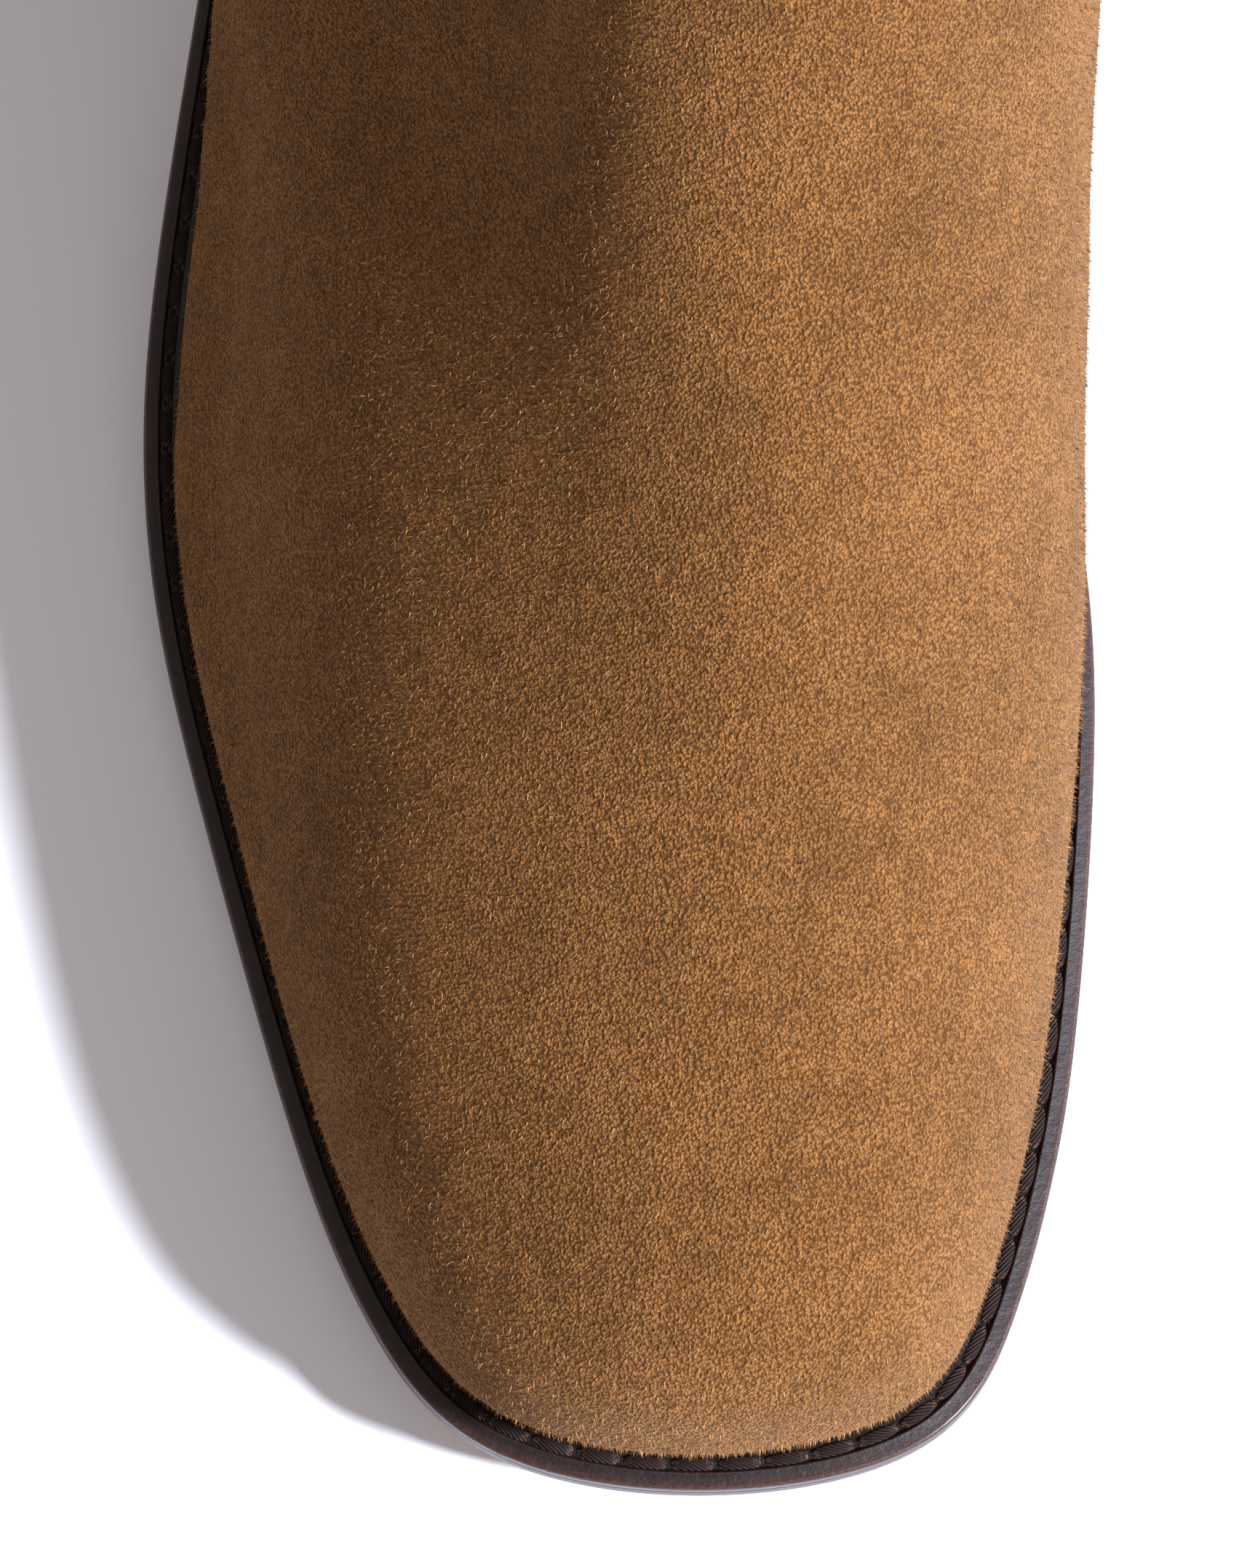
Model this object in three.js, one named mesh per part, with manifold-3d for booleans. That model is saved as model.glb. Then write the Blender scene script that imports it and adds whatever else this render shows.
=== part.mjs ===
// A chelsea boot for the right foot: suede upper with elastic side gores and webbing pull tabs,
// leather sole sewn to a welt, stacked heel. Millimetres, +Z up, toe towards -Y, big toe side +X.
// The origin is on the floor, under the middle of the sole's outline.
import * as THREE from "three";
import { mergeVertices } from "three/addons/utils/BufferGeometryUtils.js";
import Module from "manifold-3d";

const wasm = await Module();
wasm.setup();

// ---------------------------------------------------------------- driving dimensions
const SOLE_LENGTH = 300;
const BALL_WIDTH = 106;
const SHAFT_HEIGHT = 168; // floor to the topline, at the middle of its front and back
const TOPLINE_DIP = 6; // how much lower the topline is at the sides
const TOE_SPRING = 8; // lift of the outsole at the toe tip
const HEEL_HEIGHT = 24.3; // floor to the underside of the outsole over the heel
const TREAD_FRONT = -88; // the outsole lies flat on the floor between these two places
const TREAD_BACK = -42;
const HEEL_BREAST = 78; // front face of the heel, where it meets the outsole

const FIT_GAP = 0.3; // clearance between neighbouring pieces
const OUTSOLE_THICKNESS = 5;
const WELT_THICKNESS = 3;
const WELT_CLEARANCE = 0.6; // between the welt's inner edge and the upper
const TURN_CLEARANCE = 0.5; // over and under the turned-in edges, which bend in coarser steps
const INSOLE_THICKNESS = 2.5;
const SOCK_THICKNESS = 1;
const SOCK_INSET = 0.6; // the sock liner is this much smaller all round than the insole
const UPPER_THICKNESS = 1.4;
const STIFFENER_THICKNESS = 1.4; // toe puff and heel counter
const GORE_THICKNESS = 1.1;
const LINING_THICKNESS = 1;
const LASTING_MARGIN = 9; // how far the upper and lining are turned in under the insole

const THREAD_WIDTH = 1.2; // the seam's thread runs midway between the upper and the welt's edge
const THREAD_THICKNESS = 0.6;
const RIB_WIDTH = 2;
const SHANK_WIDTH = 14;
const SHANK_LENGTH = 110;
const SHANK_THICKNESS = 1.2;
const SHANK_OVER_HEEL = 22; // how far it reaches back over the heel

const LIFT_COUNT = 4;
const TOP_PIECE_THICKNESS = 6;
const HEEL_TAPER = 0.55; // each heel piece is this much smaller all round than the one above
const BREAST_RAKE = 3.5; // how far the heel's front face leans back
const NAIL_RADIUS = 1;
const NAIL_LENGTH = 12;
const NAIL_SINK = 0.5; // the nail heads lie this deep in the top piece
const NAIL_COUNT = 5; // on a half oval, open to the front
const NAIL_SPREAD = 22; // half width of that oval
const NAIL_REACH = 34; // half length of that oval
const NAIL_SETBACK = 22; // its two front nails lie this far behind the heel's front face

const TAB_WIDTH = 22;
const TAB_HEIGHT = 24; // of the loop over its fold line
const TAB_OPENING = 10; // widest gap inside the loop
const WEBBING_THICKNESS = 1.2;
const TAB_RISE = 3.4; // the fold line lies this far above the topline
const TAIL_LENGTH = 22; // sewn inside the lining

// ---------------------------------------------------------------- levels and depths
// Levels are heights above the underside of the outsole.
const WELT_BOTTOM = OUTSOLE_THICKNESS + FIT_GAP;
const WELT_TOP = WELT_BOTTOM + WELT_THICKNESS;
const UPPER_TURN = OUTSOLE_THICKNESS + TURN_CLEARANCE;
const LINING_TURN = UPPER_TURN + UPPER_THICKNESS + FIT_GAP;
const INSOLE_BOTTOM = LINING_TURN + LINING_THICKNESS + TURN_CLEARANCE;
const INSOLE_TOP = INSOLE_BOTTOM + INSOLE_THICKNESS;
const SOCK_BOTTOM = INSOLE_TOP + FIT_GAP;

// Depths are measured from the outer face of the upper.
const UNDER_UPPER = UPPER_THICKNESS + FIT_GAP;
const DEEP_LINING = UNDER_UPPER + STIFFENER_THICKNESS + FIT_GAP; // where a stiffener or gore lies over it
const GORE_DEPTH = UNDER_UPPER + 0.15;
const INSOLE_INSET = DEEP_LINING + LINING_THICKNESS + 1; // from the line where upper and welt meet

// ---------------------------------------------------------------- small maths
const clamp = (x, low, high) => Math.min(high, Math.max(low, x));
const mix = (a, b, t) => a + (b - a) * t;
const ease = (t) => {
  const s = clamp(t, 0, 1);
  return s * s * (3 - 2 * s);
};
const smoothMin = (a, b, width) => {
  const h = Math.max(width - Math.abs(a - b), 0) / width;
  return Math.min(a, b) - (h * h * h * width) / 6;
};
const smoothMax = (a, b, width) => -smoothMin(-a, -b, width);
const between = (from, to, count) =>
  Array.from({ length: count + 1 }, (_, i) => mix(from, to, i / count));

// A smooth curve of one value through [x, value] points, level beyond both ends.
function through(points, x) {
  const last = points.length - 1;
  if (x <= points[0][0]) return points[0][1];
  if (x >= points[last][0]) return points[last][1];
  const i = points.findIndex((p) => p[0] > x) - 1;
  const slope = (k) => {
    const a = points[Math.max(k - 1, 0)];
    const b = points[Math.min(k + 1, last)];
    return (b[1] - a[1]) / (b[0] - a[0]);
  };
  const [x0, y0] = points[i];
  const [x1, y1] = points[i + 1];
  const run = x1 - x0;
  const t = (x - x0) / run;
  const bend = t * t * (3 - 2 * t);
  const lean = slope(i) * t * (1 - t) * (1 - t) - slope(i + 1) * t * t * (1 - t);
  return mix(y0, y1, bend) + run * lean;
}

// ---------------------------------------------------------------- outlines on the floor plan
// The sole's outline as shares of half the ball width and half the length, from the back of the
// heel along the little toe side to the toe, and back along the big toe side.
const OUTLINE = [
  [-0.02, 1.0],
  [-0.47, 0.935],
  [-0.68, 0.77],
  [-0.7, 0.56],
  [-0.76, 0.33],
  [-0.875, 0.1],
  [-0.985, -0.13],
  [-0.985, -0.3],
  [-0.905, -0.45],
  [-0.765, -0.64],
  [-0.655, -0.77],
  [-0.535, -0.87],
  [-0.3, -0.965],
  [0.16, -1.0],
  [0.61, -0.965],
  [0.8, -0.87],
  [0.885, -0.77],
  [0.95, -0.64],
  [1.0, -0.42],
  [0.965, -0.25],
  [0.85, -0.06],
  [0.71, 0.15],
  [0.65, 0.37],
  [0.655, 0.58],
  [0.64, 0.77],
  [0.43, 0.935],
];
const LOOP_POINTS = 120;

// A closed curve with even curvature through the points, as evenly spaced places on it.
function closedCurve(points, count) {
  const n = points.length;
  const hull = points.map((p) => [...p]);
  for (let pass = 0; pass < 40; pass++)
    for (let i = 0; i < n; i++)
      for (const k of [0, 1])
        hull[i][k] = (6 * points[i][k] - hull[(i + n - 1) % n][k] - hull[(i + 1) % n][k]) / 4;
  const dense = [];
  const parts = 24;
  for (let i = 0; i < n; i++)
    for (let j = 0; j < parts; j++) {
      const t = j / parts;
      const share = [(1 - t) ** 3, 3 * t ** 3 - 6 * t * t + 4, 3 * (t + t * t - t ** 3) + 1, t ** 3];
      const place = [0, 1].map((k) =>
        share.reduce((sum, w, m) => sum + (w * hull[(i + m + n - 1) % n][k]) / 6, 0),
      );
      dense.push(place);
    }
  const far = [0];
  dense.forEach((p, i) => {
    const q = dense[(i + 1) % dense.length];
    far.push(far[i] + Math.hypot(q[0] - p[0], q[1] - p[1]));
  });
  const total = far[dense.length];
  let at = 0;
  return Array.from({ length: count }, (_, i) => {
    const want = (total * i) / count;
    while (far[at + 1] < want) at++;
    const t = (want - far[at]) / (far[at + 1] - far[at]);
    const q = dense[(at + 1) % dense.length];
    return [mix(dense[at][0], q[0], t), mix(dense[at][1], q[1], t)];
  });
}

// The curve is fitted to its box, so that the sole has exactly its stated length and width.
function fitToBox(loop, width, length) {
  const fit = (k, size) => {
    const all = loop.map((p) => p[k]);
    const [low, high] = [Math.min(...all), Math.max(...all)];
    return all.map((v) => ((v - low) / (high - low) - 0.5) * size);
  };
  const [xs, ys] = [fit(0, width), fit(1, length)];
  return loop.map((_, i) => [xs[i], ys[i]]);
}
const soleCurve = closedCurve(
  OUTLINE.map(([x, y]) => [(x * BALL_WIDTH) / 2, (y * SOLE_LENGTH) / 2]),
  LOOP_POINTS,
);
const sole = fitToBox(soleCurve, BALL_WIDTH, SOLE_LENGTH);

// Outward direction of a loop at one of its points.
function outward(loop, i) {
  const n = loop.length;
  const [a, b] = [loop[(i + n - 1) % n], loop[(i + 1) % n]];
  const size = Math.hypot(b[0] - a[0], b[1] - a[1]);
  return [(b[1] - a[1]) / size, -(b[0] - a[0]) / size];
}
// A loop moved outwards by a distance that may depend on the share of the way round.
function offset(loop, by) {
  return loop.map((p, i) => {
    const d = typeof by === "function" ? by(i / loop.length) : by;
    const out = outward(loop, i);
    return [p[0] + out[0] * d, p[1] + out[1] * d];
  });
}
// A place on a loop at a share of the way round, moved inwards by a distance.
function along(loop, u, inset = 0) {
  const at = (((u % 1) + 1) % 1) * loop.length;
  const i = Math.floor(at) % loop.length;
  const j = (i + 1) % loop.length;
  const t = at - Math.floor(at);
  const [a, b] = [outward(loop, i), outward(loop, j)];
  return [0, 1].map((k) => mix(loop[i][k], loop[j][k], t) - inset * mix(a[k], b[k], t));
}
// The loop's points that a straight line between their neighbours would miss by more than a distance.
function bends(loop, miss) {
  const kept = [0];
  for (let i = 2; i <= loop.length; i++) {
    const a = loop[kept[kept.length - 1]];
    const b = loop[i % loop.length];
    const size = Math.hypot(b[0] - a[0], b[1] - a[1]);
    let worst = 0;
    for (let j = kept[kept.length - 1] + 1; j < i; j++) {
      const cross = (b[0] - a[0]) * (loop[j][1] - a[1]) - (b[1] - a[1]) * (loop[j][0] - a[0]);
      worst = Math.max(worst, Math.abs(cross) / size);
    }
    if (worst > miss) kept.push(i - 1);
  }
  return kept;
}
const EDGE_MISS = 0.15;
const INNER_MISS = 0.25;

// Where the upper meets the welt, measured in from the sole's edge: share of the way round, distance.
const FEATHER_INSET = [
  [0, 3.4],
  [0.13, 3.4],
  [0.24, 4.4],
  [0.34, 4.8],
  [0.44, 5.4],
  [0.5, 5.2],
  [0.56, 5.2],
  [0.66, 4.6],
  [0.77, 3.4],
  [0.87, 3.2],
  [1, 3.4],
];
// How far the side of the upper swells out over that line.
const WALL_BULGE = [
  [0, 1.6],
  [0.13, 1.6],
  [0.24, 3.4],
  [0.34, 3.1],
  [0.44, 3],
  [0.5, 3],
  [0.56, 1.8],
  [0.66, 2.8],
  [0.7, 4.6],
  [0.74, 11],
  [0.79, 19],
  [0.85, 11],
  [0.9, 3],
  [1, 1.6],
];
const WALL_HEIGHT = 13; // from the welt to the widest place of the side, where nothing swells
const WALL_GAIN = 1.6; // a swelling side is taller by this much for each millimetre that it swells
const feather = offset(sole, (u) => -through(FEATHER_INSET, u));

// Distance from a loop, negative inside, and the share of the way round of the nearest place.
function nearest(loop, x, y) {
  let best = { far: Infinity, side: 0, u: 0 };
  for (let i = 0; i < loop.length; i++) {
    const p = loop[i];
    const q = loop[(i + 1) % loop.length];
    const [dx, dy] = [q[0] - p[0], q[1] - p[1]];
    const t = clamp(((x - p[0]) * dx + (y - p[1]) * dy) / (dx * dx + dy * dy), 0, 1);
    const [ex, ey] = [x - p[0] - t * dx, y - p[1] - t * dy];
    const far = Math.hypot(ex, ey);
    if (far < best.far - 1e-9) best = { far, side: ex * dy - ey * dx, u: (i + t) / loop.length };
  }
  return { distance: best.side < 0 ? -best.far : best.far, u: best.u };
}

// ---------------------------------------------------------------- the form that the upper is lasted on
// Height of the underside of the outsole above the floor.
function lift(y) {
  const toe = -SOLE_LENGTH / 2;
  if (y < TREAD_FRONT) return TOE_SPRING * ((TREAD_FRONT - y) / (TREAD_FRONT - toe)) ** 2;
  return HEEL_HEIGHT * ease((y - TREAD_BACK) / (HEEL_BREAST - TREAD_BACK));
}
const CREST = [
  [-150, 37],
  [-120, 43],
  [-90, 49],
  [-60, 57],
  [-30, 69],
  [0, 87],
  [30, 105],
  [75, 104],
  [120, 92],
  [150, 66],
]; // height of the ridge along the foot
const CREST_SIDE = [
  [-150, 8.5],
  [-100, 7],
  [-50, 11],
  [0, 16.5],
  [60, 8],
]; // how far the ridge lies to the big toe side
const LAST_WIDTH = 106; // the ball width that the ridge's places and radii are given for
const CAMBER = [
  [-150, 75],
  [-100, 50],
  [-50, 41],
  [0, 29],
  [60, 29],
]; // radius of the arch across the ridge
const SHOULDER = 27; // rounding between the side and the top
const SHOULDER_START = 14; // both roundings grow from nothing at the welt to full at these heights
const INSTEP = 42; // rounding between the foot and the shaft
const INSTEP_START = 45;
const SHAFT_MIDDLE = 84;
const SHAFT_SIDE = 3; // the shaft stands this far to the big toe side
const SHAFT_LONG = [
  [40, 36],
  [95, 50],
  [130, 51],
  [170, 53],
]; // half length of the shaft's oval by height
const SHAFT_WIDE = [
  [40, 24],
  [95, 34],
  [130, 35],
  [170, 37],
]; // half width of the shaft's oval by height
const TOP_STEEPNESS = 0.9;

// Below zero inside the form, above zero outside, and roughly the distance near its skin.
function form(x, y, z) {
  const near = nearest(feather, x, y);
  const bulge = through(WALL_BULGE, near.u);
  const above = z - lift(y) - WELT_TOP;
  const rise = clamp(above / (WALL_HEIGHT + WALL_GAIN * bulge), 0, 1);
  const wall = near.distance - bulge * (1 - (1 - rise) ** 2);
  const shoulder = SHOULDER * ease(above / SHOULDER_START) + 0.01;
  const instep = INSTEP * ease(above / INSTEP_START) + 0.01;
  const across = (x * LAST_WIDTH) / BALL_WIDTH;
  const arch = (across - through(CREST_SIDE, y)) ** 2 / (2 * through(CAMBER, y));
  const foot = smoothMax(wall, (z - through(CREST, y) + arch) * TOP_STEEPNESS, shoulder);
  const [long, wide] = [through(SHAFT_LONG, z), through(SHAFT_WIDE, z)];
  const [ex, ey] = [(x - SHAFT_SIDE) / wide, (y - SHAFT_MIDDLE) / long];
  const q = Math.hypot(ex, ey);
  const shaft = (q * (q - 1)) / Math.max(Math.hypot(ex / wide, ey / long), 1e-6);
  return smoothMin(foot, shaft, instep);
}
function slopeOf(x, y, z) {
  const h = 0.4;
  return [
    (form(x + h, y, z) - form(x - h, y, z)) / (2 * h),
    (form(x, y + h, z) - form(x, y - h, z)) / (2 * h),
    (form(x, y, z + h) - form(x, y, z - h)) / (2 * h),
  ];
}

// The run from the welt (v = 0) to the topline (v = 1) starts from these guesses, at the toe and at
// the heel: share of the way in on the floor plan, and share of the way up.
const TOE_IN = [
  [0, 0],
  [0.06, -0.008],
  [0.13, 0],
  [0.2, 0.06],
  [0.4, 0.33],
  [0.6, 0.7],
  [0.75, 0.93],
  [0.87, 1],
  [1, 1],
];
const TOE_UP = [
  [0, 0],
  [0.06, 0.065],
  [0.13, 0.11],
  [0.2, 0.155],
  [0.4, 0.226],
  [0.6, 0.37],
  [0.75, 0.57],
  [0.87, 0.79],
  [1, 1],
];
const HEEL_IN = [
  [0, 0],
  [0.1, -0.08],
  [0.2, -0.08],
  [0.35, 0.35],
  [0.5, 0.85],
  [0.65, 1.05],
  [0.82, 1.03],
  [1, 1],
];
const HEEL_UP = [
  [0, 0],
  [0.1, 0.09],
  [0.2, 0.2],
  [0.35, 0.34],
  [0.5, 0.48],
  [0.65, 0.63],
  [0.82, 0.81],
  [1, 1],
];
const TURN = 0.3; // the sides of the sole lead to places this much nearer the shaft's front

const ovalAngle = (u) => 2 * Math.PI * u + TURN * Math.sin(2 * Math.PI * u);
function toplinePlace(u) {
  const [long, wide] = [through(SHAFT_LONG, SHAFT_HEIGHT), through(SHAFT_WIDE, SHAFT_HEIGHT)];
  const angle = ovalAngle(u);
  return [SHAFT_SIDE - wide * Math.sin(angle), SHAFT_MIDDLE + long * Math.cos(angle)];
}
const toplineHeight = (u) => SHAFT_HEIGHT - TOPLINE_DIP * Math.sin(ovalAngle(u)) ** 2;

// The outer face of the upper: a point and its outward direction, u round the boot and v up it.
const known = new Map();
function face(u, v) {
  const turn = ((u % 1) + 1) % 1;
  const key = `${turn.toFixed(6)} ${v.toFixed(6)}`;
  if (known.has(key)) return known.get(key);
  const toe = 1 - ease((Math.abs(turn - 0.5) * 2 - 0.1) / 0.75);
  const from = along(feather, turn);
  const to = toplinePlace(turn);
  const into = mix(through(HEEL_IN, v), through(TOE_IN, v), toe);
  const up = mix(through(HEEL_UP, v), through(TOE_UP, v), toe);
  const base = lift(from[1]) + WELT_TOP;
  let p = [mix(from[0], to[0], into), mix(from[1], to[1], into), mix(base, toplineHeight(turn), up)];
  const free = Math.min(ease(v / 0.12), ease((1 - v) / 0.12)); // height is kept at both ends
  let g = [0, 0, 1];
  for (let pass = 0; pass < 12; pass++) {
    g = slopeOf(...p);
    const d = [g[0], g[1], g[2] * free];
    const step = clamp(form(...p) / (g[0] * d[0] + g[1] * d[1] + g[2] * d[2]), -12, 12);
    p = p.map((c, k) => c - step * d[k]);
    if (v === 0) p[2] = lift(p[1]) + WELT_TOP;
  }
  const size = Math.hypot(...g);
  const made = { p, out: g.map((c) => c / size) };
  known.set(key, made);
  return made;
}
const under = (u, v, depth) => {
  const { p, out } = face(u, v);
  return p.map((c, k) => c - out[k] * depth);
};

// ---------------------------------------------------------------- making solids
const boot = new THREE.Group();

function add(name, geometry, color, roughness = 0.8, metalness = 0) {
  const mesh = new THREE.Mesh(
    geometry,
    new THREE.MeshStandardMaterial({ color, roughness, metalness }),
  );
  mesh.name = name;
  boot.add(mesh);
  return mesh;
}
function toManifold(geometry) {
  const bare = geometry.clone();
  bare.deleteAttribute("normal");
  bare.deleteAttribute("uv");
  const merged = mergeVertices(bare, 1e-3);
  return new wasm.Manifold(
    new wasm.Mesh({
      numProp: 3,
      vertProperties: merged.attributes.position.array,
      triVerts: new Uint32Array(merged.index.array),
    }),
  );
}
function toGeometry(solid) {
  const { vertProperties, triVerts } = solid.getMesh();
  const geometry = new THREE.BufferGeometry();
  geometry.setAttribute("position", new THREE.BufferAttribute(vertProperties, 3));
  geometry.setIndex(new THREE.BufferAttribute(triVerts, 1));
  return geometry;
}
const toShape = (loop) => new THREE.Shape(loop.map(([x, y]) => new THREE.Vector2(x, y)));

// Everything that stands on an outline, or in the ring between two outlines.
function column(outer, inner) {
  const shape = toShape(outer);
  if (inner) shape.holes.push(toShape(inner));
  const geometry = new THREE.ExtrudeGeometry(shape, { depth: 400, bevelEnabled: false });
  return toManifold(geometry.translate(0, 0, -100));
}
// A layer that follows the bend of the sole between two levels, over a stretch of its length.
const STATIONS = [
  ...between(-SOLE_LENGTH / 2 - 2, TREAD_FRONT, 7),
  ...between(TREAD_BACK, HEEL_BREAST, 16),
  SOLE_LENGTH / 2 + 2,
];
function layer(bottom, top, from = STATIONS[0], to = STATIONS[STATIONS.length - 1]) {
  const places = [from, ...STATIONS.filter((y) => y > from + 0.5 && y < to - 0.5), to];
  const lower = places.map((y) => [y, lift(y) + bottom]);
  const upper = places.map((y) => [y, lift(y) + top]).reverse();
  return profile([...lower, ...upper]);
}
// Everything between the two sides of the boot that has a given outline seen from the side.
function profile(loop) {
  const geometry = new THREE.ExtrudeGeometry(toShape(loop), { depth: 300, bevelEnabled: false });
  const turn = new THREE.Matrix4().makeBasis(
    new THREE.Vector3(0, 1, 0),
    new THREE.Vector3(0, 0, 1),
    new THREE.Vector3(1, 0, 0),
  );
  return toManifold(geometry.translate(0, 0, -150).applyMatrix4(turn));
}
const edgePoints = bends(sole, EDGE_MISS);
const innerPoints = bends(offset(feather, -LASTING_MARGIN), INNER_MISS);
const pick = (loop, points) => points.map((i) => loop[i]);
const outerLoop = (by) => pick(offset(sole, by), edgePoints);
const featherLoop = (by) => pick(offset(feather, by), edgePoints);
const innerLoop = (by) => pick(offset(feather, by), innerPoints);

// A sheet of the upper: a grid of [u, v] places between two depths, turned in under the insole at
// its foot if it has a turn. Grid rows run up the boot; each holds its places round the boot.
function sheet(rows, near, far, turn) {
  const layerOf = (depth, level) => {
    const grid = rows.map((row) => row.map(([u, v]) => under(u, v, depth(u, v))));
    if (!turn) return grid;
    const margin = (inset) =>
      rows[0].map(([u, v]) => {
        const [x, y] = along(feather, u, inset ?? depth(u, v));
        return [x, y, lift(y) + level];
      });
    return [margin(LASTING_MARGIN), margin(null), ...grid];
  };
  const faces = [layerOf(near, turn?.bottom), layerOf(far, turn?.top)];
  const [high, wide] = [faces[0].length, faces[0][0].length];
  const at = (k, j, i) => (k * high + j) * wide + i;
  const index = [];
  const quad = (a, b, c, d) => index.push(a, b, c, a, c, d);
  for (let j = 0; j + 1 < high; j++)
    for (let i = 0; i + 1 < wide; i++) {
      quad(at(0, j, i), at(0, j, i + 1), at(0, j + 1, i + 1), at(0, j + 1, i));
      quad(at(1, j, i), at(1, j + 1, i), at(1, j + 1, i + 1), at(1, j, i + 1));
    }
  for (let i = 0; i + 1 < wide; i++) {
    quad(at(0, 0, i + 1), at(0, 0, i), at(1, 0, i), at(1, 0, i + 1));
    quad(at(0, high - 1, i), at(0, high - 1, i + 1), at(1, high - 1, i + 1), at(1, high - 1, i));
  }
  for (let j = 0; j + 1 < high; j++) {
    quad(at(0, j, 0), at(0, j + 1, 0), at(1, j + 1, 0), at(1, j, 0));
    quad(at(0, j + 1, wide - 1), at(0, j, wide - 1), at(1, j, wide - 1), at(1, j + 1, wide - 1));
  }
  const geometry = new THREE.BufferGeometry();
  const points = faces.flat(3);
  geometry.setAttribute("position", new THREE.Float32BufferAttribute(points, 3));
  geometry.setIndex(index);
  return geometry;
}

// ---------------------------------------------------------------- sole, welt and heel
const LEATHER_DARK = 0x2a1a16;
const LEATHER_PLAIN = 0xb98e62;
const LINING_TAN = 0xc9a47a;
const SUEDE = 0x9a6f42;
const ELASTIC = 0x2b211c;
const WEBBING = 0x5b3f28;

const SEAT_SPLIT = HEEL_BREAST - 6; // the welt ends here and the heel's rand begins
const THREAD_END = SEAT_SPLIT - 4;
const BREAST_GAP = 1; // the heel's front face lies this far behind the bend of the sole

function addSole() {
  add("outsole", toGeometry(column(outerLoop(0)).intersect(layer(0, OUTSOLE_THICKNESS))), LEATHER_DARK, 0.4);
  const ring = column(outerLoop(0), featherLoop(WELT_CLEARANCE));
  const welt = ring.intersect(layer(WELT_BOTTOM, WELT_TOP, undefined, SEAT_SPLIT));
  const rand = ring.intersect(layer(WELT_BOTTOM, WELT_TOP, SEAT_SPLIT + FIT_GAP));
  add("welt", toGeometry(welt), LEATHER_DARK, 0.4);
  add("heel_rand", toGeometry(rand), LEATHER_DARK, 0.4);
  const midway = (side) =>
    outerLoop((u) => (side * THREAD_WIDTH - through(FEATHER_INSET, u)) / 2);
  const threadRing = column(midway(1), midway(-1));
  const threadBottom = WELT_TOP + FIT_GAP;
  const threadLayer = layer(threadBottom, threadBottom + THREAD_THICKNESS, undefined, THREAD_END);
  add("welt_thread", toGeometry(threadRing.intersect(threadLayer)), 0x3b2a22, 0.7);
}

function addInsole() {
  const insole = column(innerLoop(-INSOLE_INSET)).intersect(layer(INSOLE_BOTTOM, INSOLE_TOP));
  add("insole", toGeometry(insole), LEATHER_PLAIN);
  const sockTop = SOCK_BOTTOM + SOCK_THICKNESS;
  const sock = column(innerLoop(-INSOLE_INSET - SOCK_INSET)).intersect(layer(SOCK_BOTTOM, sockTop));
  add("sock_liner", toGeometry(sock), LINING_TAN);

  const ribOut = -LASTING_MARGIN - 2 * FIT_GAP;
  const ribIn = ribOut - RIB_WIDTH;
  const ribTop = INSOLE_BOTTOM - FIT_GAP;
  const ribLayer = layer(UPPER_TURN, ribTop, undefined, SEAT_SPLIT);
  const rib = column(innerLoop(ribOut), innerLoop(ribIn)).intersect(ribLayer);
  add("insole_rib", toGeometry(rib), LEATHER_PLAIN);

  const shankFrom = HEEL_BREAST + SHANK_OVER_HEEL - SHANK_LENGTH;
  const strip = (halfWidth, ends) => [
    [-halfWidth, shankFrom - ends],
    [halfWidth, shankFrom - ends],
    [halfWidth, shankFrom + SHANK_LENGTH + ends],
    [-halfWidth, shankFrom + SHANK_LENGTH + ends],
  ];
  const shankBottom = ribTop - SHANK_THICKNESS;
  const cork = column(innerLoop(ribIn - FIT_GAP))
    .intersect(layer(UPPER_TURN, ribTop))
    .subtract(
      column(strip(SHANK_WIDTH / 2 + FIT_GAP, FIT_GAP)).intersect(
        layer(shankBottom - FIT_GAP, ribTop + 1),
      ),
    );
  add("cork_filler", toGeometry(cork), 0x8a6b48, 0.95);
  const shank = column(strip(SHANK_WIDTH / 2, 0)).intersect(layer(shankBottom, ribTop));
  add("shank", toGeometry(shank), 0x9fa3a6, 0.35, 1);
}

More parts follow.
